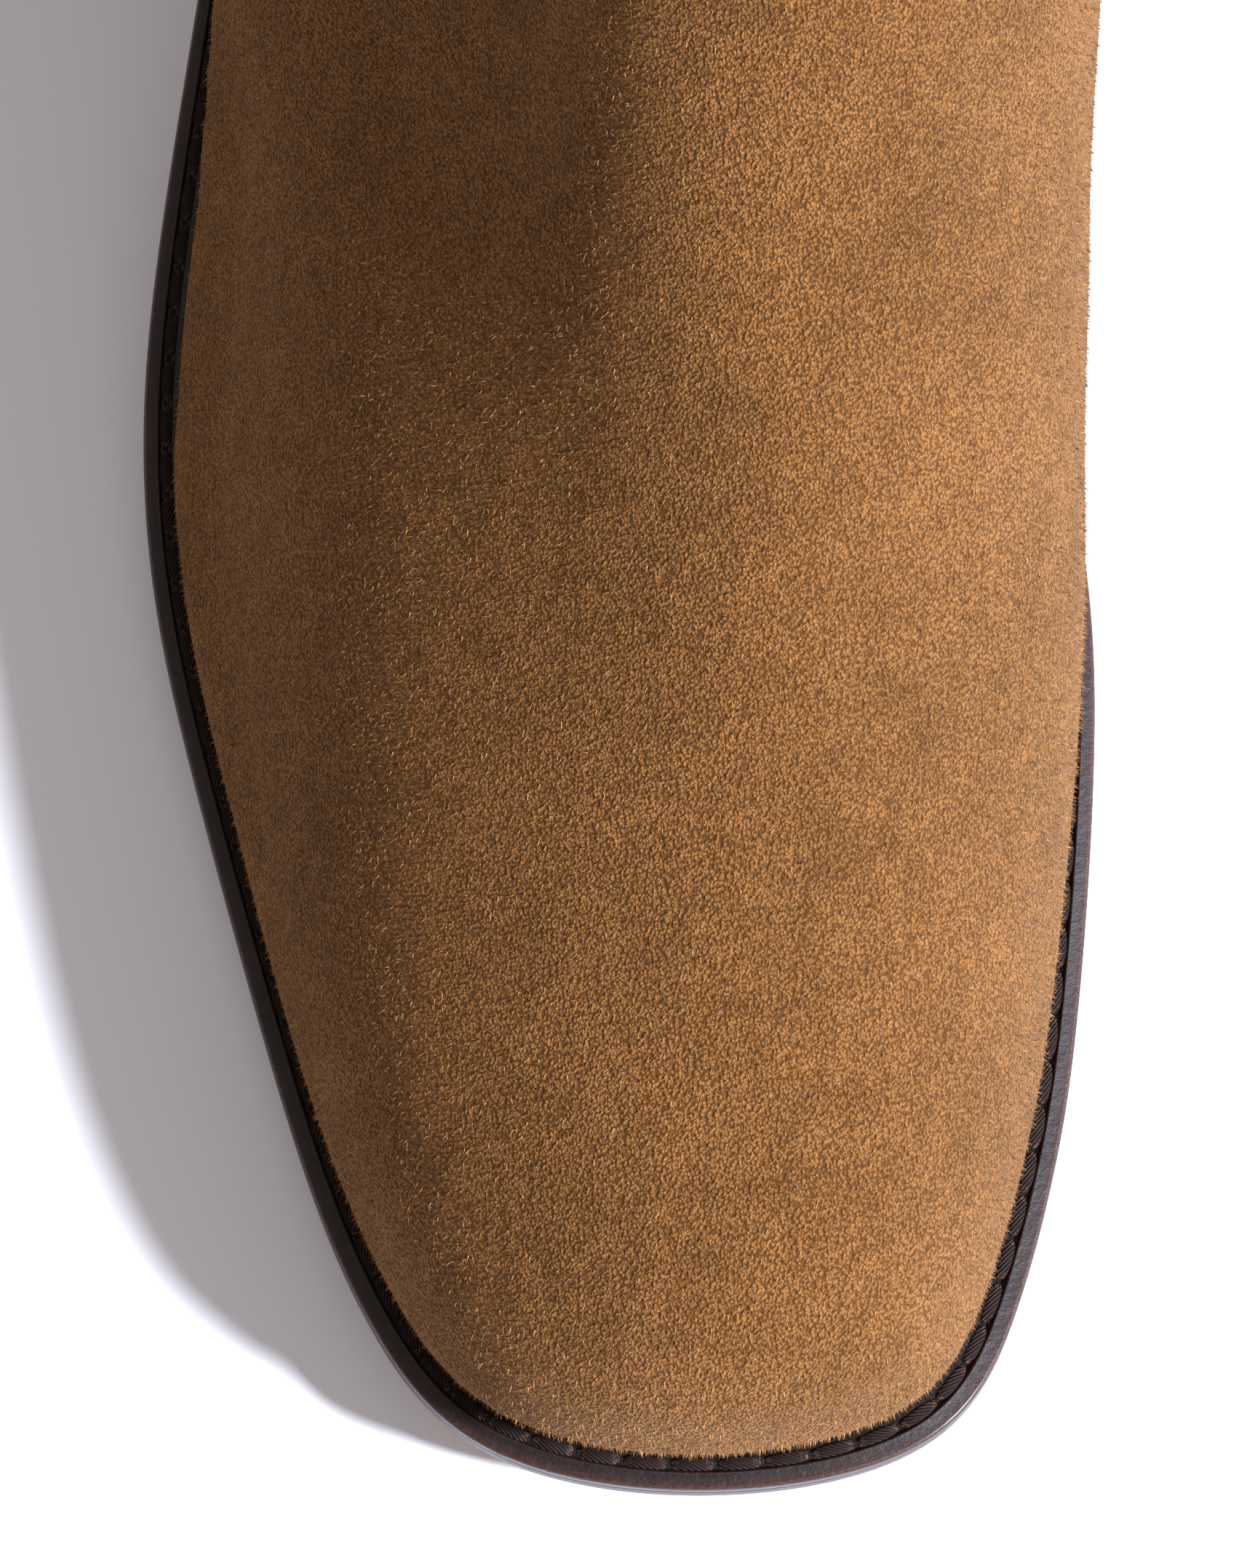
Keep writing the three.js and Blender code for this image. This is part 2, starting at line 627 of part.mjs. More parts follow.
function addHeel() {
  const liftThickness =
    (HEEL_HEIGHT - TOP_PIECE_THICKNESS - FIT_GAP * (LIFT_COUNT + 1)) / LIFT_COUNT;
  const nailPlaces = between(0, Math.PI, NAIL_COUNT - 1).map((angle) => [
    NAIL_SPREAD * Math.cos(angle),
    HEEL_BREAST + NAIL_SETBACK + NAIL_REACH * Math.sin(angle),
  ]);
  const rod = (radius, [x, y], from, to) => {
    const geometry = new THREE.CylinderGeometry(radius, radius, to - from, 10);
    geometry.rotateX(Math.PI / 2);
    return geometry.translate(x, y, (from + to) / 2);
  };
  const nailTop = NAIL_SINK + NAIL_LENGTH;
  const holes = nailPlaces.map((place) =>
    toManifold(rod(NAIL_RADIUS + FIT_GAP, place, -1, nailTop + FIT_GAP)),
  );
  let top = HEEL_HEIGHT - FIT_GAP;
  for (let k = 1; k <= LIFT_COUNT + 1; k++) {
    const last = k > LIFT_COUNT;
    const bottom = last ? 0 : top - liftThickness;
    const front = (z) => HEEL_BREAST + BREAST_GAP + (BREAST_RAKE * (HEEL_HEIGHT - z)) / HEEL_HEIGHT;
    const side = profile([
      [front(bottom), bottom],
      [SOLE_LENGTH, bottom],
      [SOLE_LENGTH, top],
      [front(top), top],
    ]);
    let piece = column(outerLoop(-HEEL_TAPER * k)).intersect(side);
    if (bottom < nailTop) piece = holes.reduce((solid, hole) => solid.subtract(hole), piece);
    add(last ? "heel_top_piece" : `heel_lift_${k}`, toGeometry(piece), last ? 0x1d1a19 : 0x4a2c1c, 0.6);
    top = bottom - FIT_GAP;
  }
  nailPlaces.forEach((place, i) => {
    add(`heel_nail_${i + 1}`, rod(NAIL_RADIUS, place, NAIL_SINK, nailTop), 0xb08d3c, 0.3, 1);
  });
}

// ---------------------------------------------------------------- upper and lining
const GORE_MIDDLE = 0.2; // share of the way round; the other gore lies at 1 minus this
const GORE_BOTTOM = 0.44; // v where the opening for the gore begins
const GORE_ROUND = 0.1; // v over which its foot is rounded
const GORE_HALF_FOOT = 0.034; // half widths of the opening, as shares of the way round
const GORE_HALF_TOP = 0.068;
const SEAM_HALF_GAP = 0.0004; // share of the way round between the vamp's edge and the seam line
const TUCK = 0.024; // how far the gore reaches under the leather

// Half width of a gore's opening at a height, or of the closed seam below it.
function halfOpening(v) {
  if (v <= GORE_BOTTOM) return SEAM_HALF_GAP;
  const round = clamp((v - GORE_BOTTOM) / GORE_ROUND, 0, 1);
  const foot = GORE_HALF_FOOT * Math.sqrt(1 - (1 - round) ** 2);
  const growth = (GORE_HALF_TOP - GORE_HALF_FOOT) * ((v - GORE_BOTTOM) / (1 - GORE_BOTTOM)) ** 1.2;
  return SEAM_HALF_GAP + foot + growth;
}
const ROWS = [
  0, 0.045, 0.09, 0.13, 0.165, 0.2, 0.26, 0.32, 0.38, GORE_BOTTOM, 0.446, 0.47, 0.52, 0.6, 0.7, 0.8,
  0.9, 1,
];
// Shares of the way across the vamp, closer together where the toe turns.
const HALF_VAMP = [
  0, 0.036, 0.072, 0.108, 0.144, 0.18, 0.216, 0.255, 0.295, 0.33, 0.362, 0.39, 0.415, 0.44, 0.47,
];
const VAMP_COLUMNS = [...HALF_VAMP, 0.5, ...HALF_VAMP.map((s) => 1 - s).reverse()];
const QUARTER_COLUMNS = between(0, 1, 20);

const vampRow = (v) => {
  const edge = GORE_MIDDLE + halfOpening(v);
  return VAMP_COLUMNS.map((s) => [mix(edge, 1 - edge, s), v]);
};
const quarterRow = (v) => {
  const edge = GORE_MIDDLE - halfOpening(v);
  return QUARTER_COLUMNS.map((s) => [mix(-edge, edge, s), v]);
};
const vampRows = ROWS.map(vampRow);
const quarterRows = ROWS.map(quarterRow);

// The stiffeners cover these parts of the grids.
const PUFF_ROWS = [1, 7];
const PUFF_COLUMNS = [8, 22];
const COUNTER_ROWS = [1, 9];
const COUNTER_COLUMNS = [1, 19];
const cut = (rows, [low, high], [from, to]) =>
  rows.slice(low, high + 1).map((row) => row.slice(from, to + 1));

// How deep the lining lies: deeper where a stiffener or a gore is between it and the upper.
const nearTo = (x, low, high, ramp) => ease(1 - Math.max(low - x, x - high, 0) / ramp);
function liningDepth(u, v) {
  const turn = ((u % 1) + 1) % 1;
  const mirrored = Math.min(turn, 1 - turn);
  const [puff, counter] = [ROWS[PUFF_ROWS[1]], ROWS[COUNTER_ROWS[1]]];
  const overPuff = nearTo(turn, 0.29, 0.71, 0.04) * nearTo(v, 0, puff + 0.02, 0.05);
  const overCounter = nearTo(mirrored, 0, GORE_MIDDLE, 0.02) * nearTo(v, 0, counter + 0.005, 0.02);
  const reach = halfOpening(Math.max(v, GORE_BOTTOM + 0.04)) + TUCK + 0.007;
  const overGore =
    nearTo(mirrored, GORE_MIDDLE - reach, GORE_MIDDLE + reach, 0.03) *
    nearTo(v, GORE_BOTTOM - 0.07, 1, 0.05);
  const deep = Math.max(overPuff, overCounter, overGore);
  return mix(UNDER_UPPER, DEEP_LINING, deep);
}

function addUpper() {
  const flat = (depth) => () => depth;
  const upperTurn = { bottom: UPPER_TURN, top: UPPER_TURN + UPPER_THICKNESS };
  const liningTurn = { bottom: LINING_TURN, top: LINING_TURN + LINING_THICKNESS };
  const liningInside = (u, v) => liningDepth(u, v) + LINING_THICKNESS;
  const stiffenerInside = flat(UNDER_UPPER + STIFFENER_THICKNESS);
  add("vamp", sheet(vampRows, flat(0), flat(UPPER_THICKNESS), upperTurn), SUEDE, 0.95);
  add("quarter", sheet(quarterRows, flat(0), flat(UPPER_THICKNESS), upperTurn), SUEDE, 0.95);
  add("vamp_lining", sheet(vampRows, liningDepth, liningInside, liningTurn), LINING_TAN);
  add("quarter_lining", sheet(quarterRows, liningDepth, liningInside, liningTurn), LINING_TAN);
  const puff = cut(vampRows, PUFF_ROWS, PUFF_COLUMNS);
  add("toe_puff", sheet(puff, flat(UNDER_UPPER), stiffenerInside), 0xd8cbb4);
  const counter = cut(quarterRows, COUNTER_ROWS, COUNTER_COLUMNS);
  add("heel_counter", sheet(counter, flat(UNDER_UPPER), stiffenerInside), 0xd8cbb4);

  const goreRow = (v, side) => {
    const reach = Math.max(halfOpening(v), halfOpening(GORE_BOTTOM + 0.04)) + TUCK;
    return between(-reach, reach, 12).map((s) => [side > 0 ? 1 - GORE_MIDDLE + s : GORE_MIDDLE + s, v]);
  };
  const goreRows = (side) => ROWS.filter((v) => v > GORE_BOTTOM).map((v) => goreRow(v, side));
  const goreSides = [flat(GORE_DEPTH), flat(GORE_DEPTH + GORE_THICKNESS)];
  add("lateral_gore", sheet(goreRows(-1), ...goreSides), ELASTIC, 0.9);
  add("medial_gore", sheet(goreRows(1), ...goreSides), ELASTIC, 0.9);
}

// ---------------------------------------------------------------- pull tabs
// A tab is a strip of webbing folded to a loop. Its tail is sewn inside the lining up to the topline,
// and its loop swings on a fold line just above it.
const TAIL_THICKNESS = 2 * WEBBING_THICKNESS;
const TAIL_DEPTH = UNDER_UPPER + LINING_THICKNESS + 0.4;
const FOLD_HEIGHT = SHAFT_HEIGHT + TAB_RISE;
const STUB = TAB_RISE - 0.8; // the part of the loop below its fold line
const LOOP_START = 3; // the two legs part this far above the fold line

function addTab(name, u) {
  const [a, b] = [face(u - 0.01, 1).p, face(u + 0.01, 1).p];
  const halfTurn = (0.01 * TAB_WIDTH) / Math.hypot(b[0] - a[0], b[1] - a[1]);
  let low = 1;
  while (face(u, low).p[2] > SHAFT_HEIGHT - TAIL_LENGTH) low -= 0.01;
  const rows = [low, (1 + low) / 2, 1].map((v) =>
    between(-halfTurn, halfTurn, 6).map((s) => [u + s, v]),
  );
  const depths = [TAIL_DEPTH, TAIL_DEPTH + TAIL_THICKNESS];
  const tail = sheet(rows, ...depths.map((depth) => () => depth));
  add(`${name}_tail`, tail, WEBBING, 0.9);

  const widestHalf = TAB_OPENING / 2 + WEBBING_THICKNESS;
  const halfWidths = [
    [-STUB, WEBBING_THICKNESS],
    [0, WEBBING_THICKNESS],
    [0.22 * TAB_HEIGHT, mix(WEBBING_THICKNESS, widestHalf, 0.45)],
    [0.55 * TAB_HEIGHT, widestHalf],
    [0.85 * TAB_HEIGHT, 0.8 * widestHalf],
    [TAB_HEIGHT, 0.35 * widestHalf],
  ];
  const outline = (from, to, shrink) => {
    const right = between(from, to, 9).map((z) => [through(halfWidths, z) - shrink, z]);
    return [...right, ...right.map(([x, z]) => [-x, z]).reverse()];
  };
  const ring = toShape(outline(-STUB, TAB_HEIGHT, 0));
  const leg = 1.1 * WEBBING_THICKNESS; // across a leg that leans
  ring.holes.push(toShape(outline(LOOP_START, TAB_HEIGHT - WEBBING_THICKNESS, leg)));
  const loop = new THREE.ExtrudeGeometry(ring, { depth: TAB_WIDTH, bevelEnabled: false });
  const upright = new THREE.Matrix4().makeBasis(
    new THREE.Vector3(0, 1, 0),
    new THREE.Vector3(0, 0, 1),
    new THREE.Vector3(1, 0, 0),
  );
  loop.translate(0, 0, -TAB_WIDTH / 2).applyMatrix4(upright);
  const middleDepth = TAIL_DEPTH + TAIL_THICKNESS / 2;
  const [centre, side] = [under(u, 1, middleDepth), under(u + halfTurn, 1, middleDepth)];
  const y = mix(centre[1], side[1], 0.4);
  add(name, loop, WEBBING, 0.9).position.set(SHAFT_SIDE, y, FOLD_HEIGHT);
}

addSole();
addInsole();
addHeel();
addUpper();
addTab("front_pull_tab", 0.5);
addTab("rear_pull_tab", 0);

export default boot;
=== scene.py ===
# %% [markdown]
# # A suede chelsea boot around its CAD frame
#
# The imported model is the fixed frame: every piece here is built in its space, in metres, with +Z up,
# the toe towards -Y and the big toe side towards +X. The CAD solids are coarse and plain. This lesson
# builds the surfaces that are seen, and each one says which CAD node it stands for.

# %% Load the frame
import math

import bmesh
import bpy
import numpy as np
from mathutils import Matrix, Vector, geometry


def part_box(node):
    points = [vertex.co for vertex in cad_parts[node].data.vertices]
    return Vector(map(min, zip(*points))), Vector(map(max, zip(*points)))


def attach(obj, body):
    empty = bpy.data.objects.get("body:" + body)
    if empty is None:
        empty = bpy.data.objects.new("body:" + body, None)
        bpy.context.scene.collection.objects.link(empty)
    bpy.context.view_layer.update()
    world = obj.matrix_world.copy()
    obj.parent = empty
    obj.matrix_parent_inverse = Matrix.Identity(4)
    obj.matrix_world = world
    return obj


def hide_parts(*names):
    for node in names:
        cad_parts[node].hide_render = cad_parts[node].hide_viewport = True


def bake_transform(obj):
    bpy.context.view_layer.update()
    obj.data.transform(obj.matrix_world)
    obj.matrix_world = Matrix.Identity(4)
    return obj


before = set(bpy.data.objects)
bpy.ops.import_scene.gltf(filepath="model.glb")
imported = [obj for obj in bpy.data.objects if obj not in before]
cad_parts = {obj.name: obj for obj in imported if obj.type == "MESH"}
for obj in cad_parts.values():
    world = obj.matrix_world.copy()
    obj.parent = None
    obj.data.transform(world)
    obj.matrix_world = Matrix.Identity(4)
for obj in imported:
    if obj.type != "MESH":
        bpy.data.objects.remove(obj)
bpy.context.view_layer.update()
MM = 0.001  # the shapes below are worked out in millimetres

# %% [markdown]
# ## The sole's outline
#
# A welted boot starts from one outline, the edge of its sole. Everything else keeps a distance from
# it: the welt's seam, the line where the upper meets the welt (makers call it the feather line), the
# insole. It could be drawn as a Bezier curve, but a closed spline through a few points, worked out
# here, gives exact distances all the way round, which the later pieces need.

# %% Small maths
def ease(t):
    s = np.clip(t, 0, 1)
    return s * s * (3 - 2 * s)


def mix(a, b, t):
    return a + (b - a) * t


def through(points, x):
    """A smooth curve of one value through [x, value] points, level beyond both ends."""
    xs, ys = np.array(points, float).T
    before, after = np.r_[0, np.arange(len(xs) - 1)], np.r_[np.arange(1, len(xs)), len(xs) - 1]
    slopes = (ys[after] - ys[before]) / (xs[after] - xs[before])
    x = np.clip(np.asarray(x, float), xs[0], xs[-1])
    i = np.clip(np.searchsorted(xs, x, side="right") - 1, 0, len(xs) - 2)
    run = xs[i + 1] - xs[i]
    t = (x - xs[i]) / run
    lean = slopes[i] * t * (1 - t) ** 2 - slopes[i + 1] * t * t * (1 - t)
    return mix(ys[i], ys[i + 1], ease(t)) + run * lean


def smooth_min(a, b, width):
    h = np.maximum(width - np.abs(a - b), 0) / width
    return np.minimum(a, b) - h**3 * width / 6


def closed_curve(points, count):
    """A closed curve with even curvature through the points, as evenly spaced places on it."""
    hull = points.copy()
    n = len(points)
    for _ in range(40):
        for i in range(n):
            hull[i] = (6 * points[i] - hull[i - 1] - hull[(i + 1) % n]) / 4
    t = np.arange(24) / 24
    share = np.stack(
        [(1 - t) ** 3, 3 * t**3 - 6 * t * t + 4, 3 * (t + t * t - t**3) + 1, t**3], 1
    ) / 6
    spans = [share @ hull[[i - 1, i, (i + 1) % n, (i + 2) % n]] for i in range(n)]
    dense = np.concatenate(spans + [spans[0][:1]])
    far = np.r_[0, np.cumsum(np.linalg.norm(np.diff(dense, axis=0), axis=1))]
    want = np.arange(count) / count * far[-1]
    return np.stack([np.interp(want, far, dense[:, k]) for k in (0, 1)], 1)


def outward(loop):
    """Outward direction at each point of a closed loop that runs anticlockwise seen from above."""
    step = np.roll(loop, -1, 0) - np.roll(loop, 1, 0)
    out = np.stack([step[:, 1], -step[:, 0]], 1)
    return out / np.linalg.norm(out, axis=1, keepdims=True)


def along(loop, u, inset=0.0):
    """Places on a loop at shares of the way round, moved inwards by a distance."""
    n = len(loop)
    at = np.mod(np.asarray(u, float), 1) * n
    i = np.floor(at).astype(int) % n
    t = (at - np.floor(at))[..., None]
    out = outward(loop)
    place = mix(loop[i], loop[(i + 1) % n], t)
    return place - np.asarray(inset)[..., None] * mix(out[i], out[(i + 1) % n], t)


print("a smooth hill:", through([[0, 0], [1, 1], [2, 0]], [0, 0.5, 1, 1.5, 2]).round(2))

# %% The outline and the feather line
SOLE_WIDTH, SOLE_LENGTH = [
    (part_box("outsole")[1][k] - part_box("outsole")[0][k]) / MM for k in (0, 1)
]
# Shares of half the width and half the length, from the back of the heel along the little toe side.
OUTLINE = np.array([
    [-0.02, 1.0], [-0.47, 0.935], [-0.68, 0.77], [-0.7, 0.56], [-0.76, 0.33], [-0.875, 0.1],
    [-0.985, -0.13], [-0.985, -0.3], [-0.905, -0.45], [-0.765, -0.64], [-0.655, -0.77],
    [-0.535, -0.87], [-0.3, -0.965], [0.16, -1.0], [0.61, -0.965], [0.8, -0.87], [0.885, -0.77],
    [0.95, -0.64], [1.0, -0.42], [0.965, -0.25], [0.85, -0.06], [0.71, 0.15], [0.65, 0.37],
    [0.655, 0.58], [0.64, 0.77], [0.43, 0.935],
])
FEATHER_INSET = [
    [0, 3.4], [0.13, 3.4], [0.24, 4.4], [0.34, 4.8], [0.44, 5.4], [0.5, 5.2], [0.56, 5.2],
    [0.66, 4.6], [0.77, 3.4], [0.87, 3.2], [1, 3.4],
]
WALL_BULGE = [
    [0, 1.6], [0.13, 1.6], [0.24, 3.4], [0.34, 3.1], [0.44, 3], [0.5, 3], [0.56, 1.8],
    [0.66, 2.8], [0.7, 4.6], [0.74, 11], [0.79, 19], [0.85, 11], [0.9, 3], [1, 1.6],
]


def sole_loop(count):
    loop = closed_curve(OUTLINE * [SOLE_WIDTH / 2, SOLE_LENGTH / 2], count)
    low, high = loop.min(0), loop.max(0)
    return ((loop - low) / (high - low) - 0.5) * [SOLE_WIDTH, SOLE_LENGTH]


sole = sole_loop(120)
shares = np.arange(120) / 120
feather = along(sole, shares, through(FEATHER_INSET, shares))
print("sole:", round(SOLE_LENGTH), "by", round(SOLE_WIDTH), "mm")

# %% [markdown]
# ## The last
#
# Shoemakers pull the upper over a last, a solid form of the foot. The last here is one formula: a
# value that is below zero inside the form and above zero outside. It joins a low, flat-topped foot
# with upright sides to an oval shaft, and the two smooth minimum and maximum functions round the
# meeting lines. A formula beats a sculpted mesh for this: the suede, its lining, the elastic and
# every seam can ask it where the skin is, and at what depth they lie under it.

# %% Bend of the sole
TOE_SPRING = 8.0
HEEL_HEIGHT = 24.3
TREAD_FRONT, TREAD_BACK, HEEL_BREAST = -88.0, -42.0, 78.0
WELT_TOP = (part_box("heel_rand")[1].z / MM) - HEEL_HEIGHT


def lift(y):
    """Height of the underside of the outsole above the floor."""
    toe = TOE_SPRING * (np.maximum(TREAD_FRONT - y, 0) / (TREAD_FRONT + SOLE_LENGTH / 2)) ** 2
    return toe + HEEL_HEIGHT * ease((y - TREAD_BACK) / (HEEL_BREAST - TREAD_BACK))


print("sole at toe, ball and heel:", [round(float(lift(y)), 1) for y in (-150, -60, 100)], "mm up")

# %% The form
# Pairs of a place along the boot, or round it, or a height, and a value there.
CREST = [
    [-150, 37], [-120, 43], [-90, 49], [-60, 57], [-30, 69], [0, 87], [30, 105], [75, 104],
    [120, 92], [150, 66],
]
CREST_SIDE = [[-150, 8.5], [-100, 7], [-50, 11], [0, 16.5], [60, 8]]
CAMBER = [[-150, 75], [-100, 50], [-50, 41], [0, 29], [60, 29]]
SHAFT_LONG = [[40, 36], [95, 50], [130, 51], [170, 53]]
SHAFT_WIDE = [[40, 24], [95, 34], [130, 35], [170, 37]]
SHAFT_MIDDLE, SHAFT_SIDE = 84.0, 3.0
SHAFT_HEIGHT, TOPLINE_DIP = 168.0, 6.0
SHOULDER, SHOULDER_START = 27.0, 14.0
INSTEP, INSTEP_START = 42.0, 45.0


def nearest(loop, x, y):
    """Distance from a loop, negative inside, and the share of the way round of the nearest place."""
    p, q = loop, np.roll(loop, -1, 0)
    d = q - p
    rx, ry = x[:, None] - p[:, 0], y[:, None] - p[:, 1]
    t = np.clip((rx * d[:, 0] + ry * d[:, 1]) / (d * d).sum(1), 0, 1)
    ex, ey = rx - t * d[:, 0], ry - t * d[:, 1]
    far = ex * ex + ey * ey
    best = far.argmin(1)
    row = np.arange(len(x))
    side = ex[row, best] * d[best, 1] - ey[row, best] * d[best, 0]
    return np.sqrt(far[row, best]) * np.sign(side), (best + t[row, best]) / len(loop)


def form(p):
    x, y, z = p.T
    distance, u = nearest(feather, x, y)
    bulge = through(WALL_BULGE, u)
    above = z - lift(y) - WELT_TOP
    rise = np.clip(above / (13 + 1.6 * bulge), 0, 1)
    wall = distance - bulge * (1 - (1 - rise) ** 2)
    shoulder = SHOULDER * ease(above / SHOULDER_START) + 0.01
    instep = INSTEP * ease(above / INSTEP_START) + 0.01
    arch = (x - through(CREST_SIDE, y)) ** 2 / (2 * through(CAMBER, y))
    foot = -smooth_min(-wall, -(z - through(CREST, y) + arch) * 0.9, shoulder)
    long, wide = through(SHAFT_LONG, z), through(SHAFT_WIDE, z)
    ex, ey = (x - SHAFT_SIDE) / wide, (y - SHAFT_MIDDLE) / long
    q = np.hypot(ex, ey)
    shaft = q * (q - 1) / np.maximum(np.hypot(ex / wide, ey / long), 1e-6)
    return smooth_min(foot, shaft, instep)


samples = np.array([[0.0, -60.0, 30.0], [0.0, -60.0, 90.0]])
print("form inside the toes and above them:", form(samples).round(1))

# %% The skin of the form, round the boot (u) and up it (v)
TOE_IN = [
    [0, 0], [0.06, -0.008], [0.13, 0], [0.2, 0.06], [0.4, 0.33], [0.6, 0.7], [0.75, 0.93],
    [0.87, 1], [1, 1],
]
TOE_UP = [
    [0, 0], [0.06, 0.065], [0.13, 0.11], [0.2, 0.155], [0.4, 0.226], [0.6, 0.37], [0.75, 0.57],
    [0.87, 0.79], [1, 1],
]
HEEL_IN = [
    [0, 0], [0.1, -0.08], [0.2, -0.08], [0.35, 0.35], [0.5, 0.85], [0.65, 1.05], [0.82, 1.03],
    [1, 1],
]
HEEL_UP = [
    [0, 0], [0.1, 0.09], [0.2, 0.2], [0.35, 0.34], [0.5, 0.48], [0.65, 0.63], [0.82, 0.81], [1, 1],
]


def oval_angle(u):
    return 2 * np.pi * u + 0.3 * np.sin(2 * np.pi * u)


def face(u, v):
    """Points of the outer face and their outward directions, for flat arrays of u and v."""
    turn = np.mod(u, 1)
    toe = 1 - ease((np.abs(turn - 0.5) * 2 - 0.1) / 0.75)
    angle = oval_angle(turn)
    long, wide = through(SHAFT_LONG, SHAFT_HEIGHT), through(SHAFT_WIDE, SHAFT_HEIGHT)
    top = np.stack([SHAFT_SIDE - wide * np.sin(angle), SHAFT_MIDDLE + long * np.cos(angle)], 1)
    top_height = SHAFT_HEIGHT - TOPLINE_DIP * np.sin(angle) ** 2
    foot = along(feather, turn)
    into = mix(through(HEEL_IN, v), through(TOE_IN, v), toe)[:, None]
    up = mix(through(HEEL_UP, v), through(TOE_UP, v), toe)
    base = lift(foot[:, 1]) + WELT_TOP
    p = np.c_[mix(foot, top, into), mix(base, top_height, up)]
    free = np.minimum(ease(v / 0.12), ease((1 - v) / 0.12))
    for _ in range(11):
        g = np.stack(
            [(form(p + step) - form(p - step)) / 0.8 for step in np.eye(3) * 0.4], 1
        )
        d = g * np.c_[np.ones((len(v), 2)), free]
        step = np.clip(form(p) / (g * d).sum(1), -12, 12)
        p = p - step[:, None] * d
        p[v == 0, 2] = lift(p[v == 0, 1]) + WELT_TOP
    return p, g / np.linalg.norm(g, axis=1, keepdims=True)


tip, _ = face(np.array([0.5]), np.array([0.2]))
print("the toe's front, low down:", tip[0].round(1), "mm")

# %% [markdown]
# ## What wear and lasting do to the skin
#
# Suede is soft over the instep, where the boot bends. It keeps a shallow fold there, on the little
# toe side of the ridge, and a few faint ripples over the toes. They are small moves along the
# outward direction, made on every layer, so that the lining follows the suede.

# %% Folds and ripples
# Each is a height in millimetres, a place on the floor plan, the oval's radii, and its lean.
INSTEP_FOLD = (-6.4, (-18, 2), (23, 14, 42), 0.12)
SWELLS = [
    (1.0, (8, -8), (14, 38), -0.1),  # the ridge beside the fold
    (-1.2, (43, -12), (9, 9), 0.0),  # the dent behind the big toe's joint
    (2.0, (17, -52), (17, 28), 0.0),  # the ball of the foot
]
RIPPLE, RIPPLE_LENGTH, RIPPLE_BEND = 0.42, 7.3, 31
RIPPLES_OVER = ((2, -75), (40, 45))
FOLD_STARTS, SHAFT_STARTS = 30, 150  # heights: no fold below the first, none above the second


def hump(p, centre, radii, lean=0.0):
    """1 at a place, fading to 0 over an oval that may lean and may be wider to the right."""
    c, s = math.cos(lean), math.sin(lean)
    dx, dy = p[:, 0] - centre[0], p[:, 1] - centre[1]
    across, along_it = dx * c + dy * s, dy * c - dx * s
    a, b = across / np.where(across < 0, radii[0], radii[-2]), along_it / radii[-1]
    return np.exp(-(a * a + b * b))


def settle(p, out):
    """The skin with its folds: points moved along their outward directions."""
    x, y, z = p.T
    below_shaft = ease((SHAFT_STARTS - z) / 60)
    height, *where = INSTEP_FOLD
    move = height * hump(p, *where) * ease((z - FOLD_STARTS) / 25)
    for height, *where in SWELLS:
        move += height * hump(p, *where)
    wave = np.sin(x / RIPPLE_LENGTH + 0.9 * np.sin(y / RIPPLE_BEND))
    move += RIPPLE * wave * hump(p, *RIPPLES_OVER)
    return p + out * (move * below_shaft)[:, None]


print("fold:", INSTEP_FOLD[0], "mm, ripples:", RIPPLE, "mm")


# %% [markdown]
# ## Turning grids into sheets
#
# Each piece of leather is a grid of places on the skin between two depths. At its foot it is turned
# in flat under the insole, as the lasted upper of a welted boot is. Its cut edges are rounded by one
# extra row of points, pushed out half way through the thickness.

# %% Mesh helpers
def new_object(name, points, faces, edges=()):
    """A mesh object from points in millimetres."""
    mesh = bpy.data.meshes.new(name)
    faces = [list(map(int, corners)) for corners in faces]
    mesh.from_pydata((np.asarray(points) * MM).tolist(), list(edges), faces)
    mesh.polygons.foreach_set("use_smooth", [True] * len(mesh.polygons))
    mesh.update()
    obj = bpy.data.objects.new(name, mesh)
    bpy.context.scene.collection.objects.link(obj)
    return obj


def store(obj, name, values):
    """A value or a direction for each point of a mesh, which materials and nodes can read."""
    values = np.asarray(values, np.float32)
    kind, key = ("FLOAT_VECTOR", "vector") if values.ndim > 1 else ("FLOAT", "value")
    obj.data.attributes.new(name, kind, "POINT").data.foreach_set(key, values.ravel())


def strip(a, b):
    """Quads between two equally long rows of vertex numbers."""
    return np.stack([a[:-1], a[1:], b[1:], b[:-1]], 1)


def grid_numbers(high, wide):
    return np.arange(high * wide).reshape(high, wide)


def grid_border(number):
    """The numbers round the border of a grid, in order."""
    return np.r_[number[0], number[1:, -1], number[-1, -2::-1], number[-2:0:-1, 0]]


def two_sides(number, inner):
    """The faces of a grid and of its far side, which looks the other way."""
    faces = []
    for j in range(len(number) - 1):
        faces += [strip(number[j], number[j + 1]), strip(inner[j + 1], inner[j])]
    return faces


# %% Sheets
LASTING_MARGIN = 9.0
FOOT_BEND, FOOT_RISE = 1.2, 0.6  # how the suede rounds from the wall into the margin
skins = {}


def skin(key, u, v):
    """The settled skin of a grid, worked out once for all the layers that share it."""
    if key not in skins:
        p, out = face(u.ravel(), v.ravel())
        skins[key] = settle(p, out).reshape(*u.shape, 3), out.reshape(*u.shape, 3)
    return skins[key]


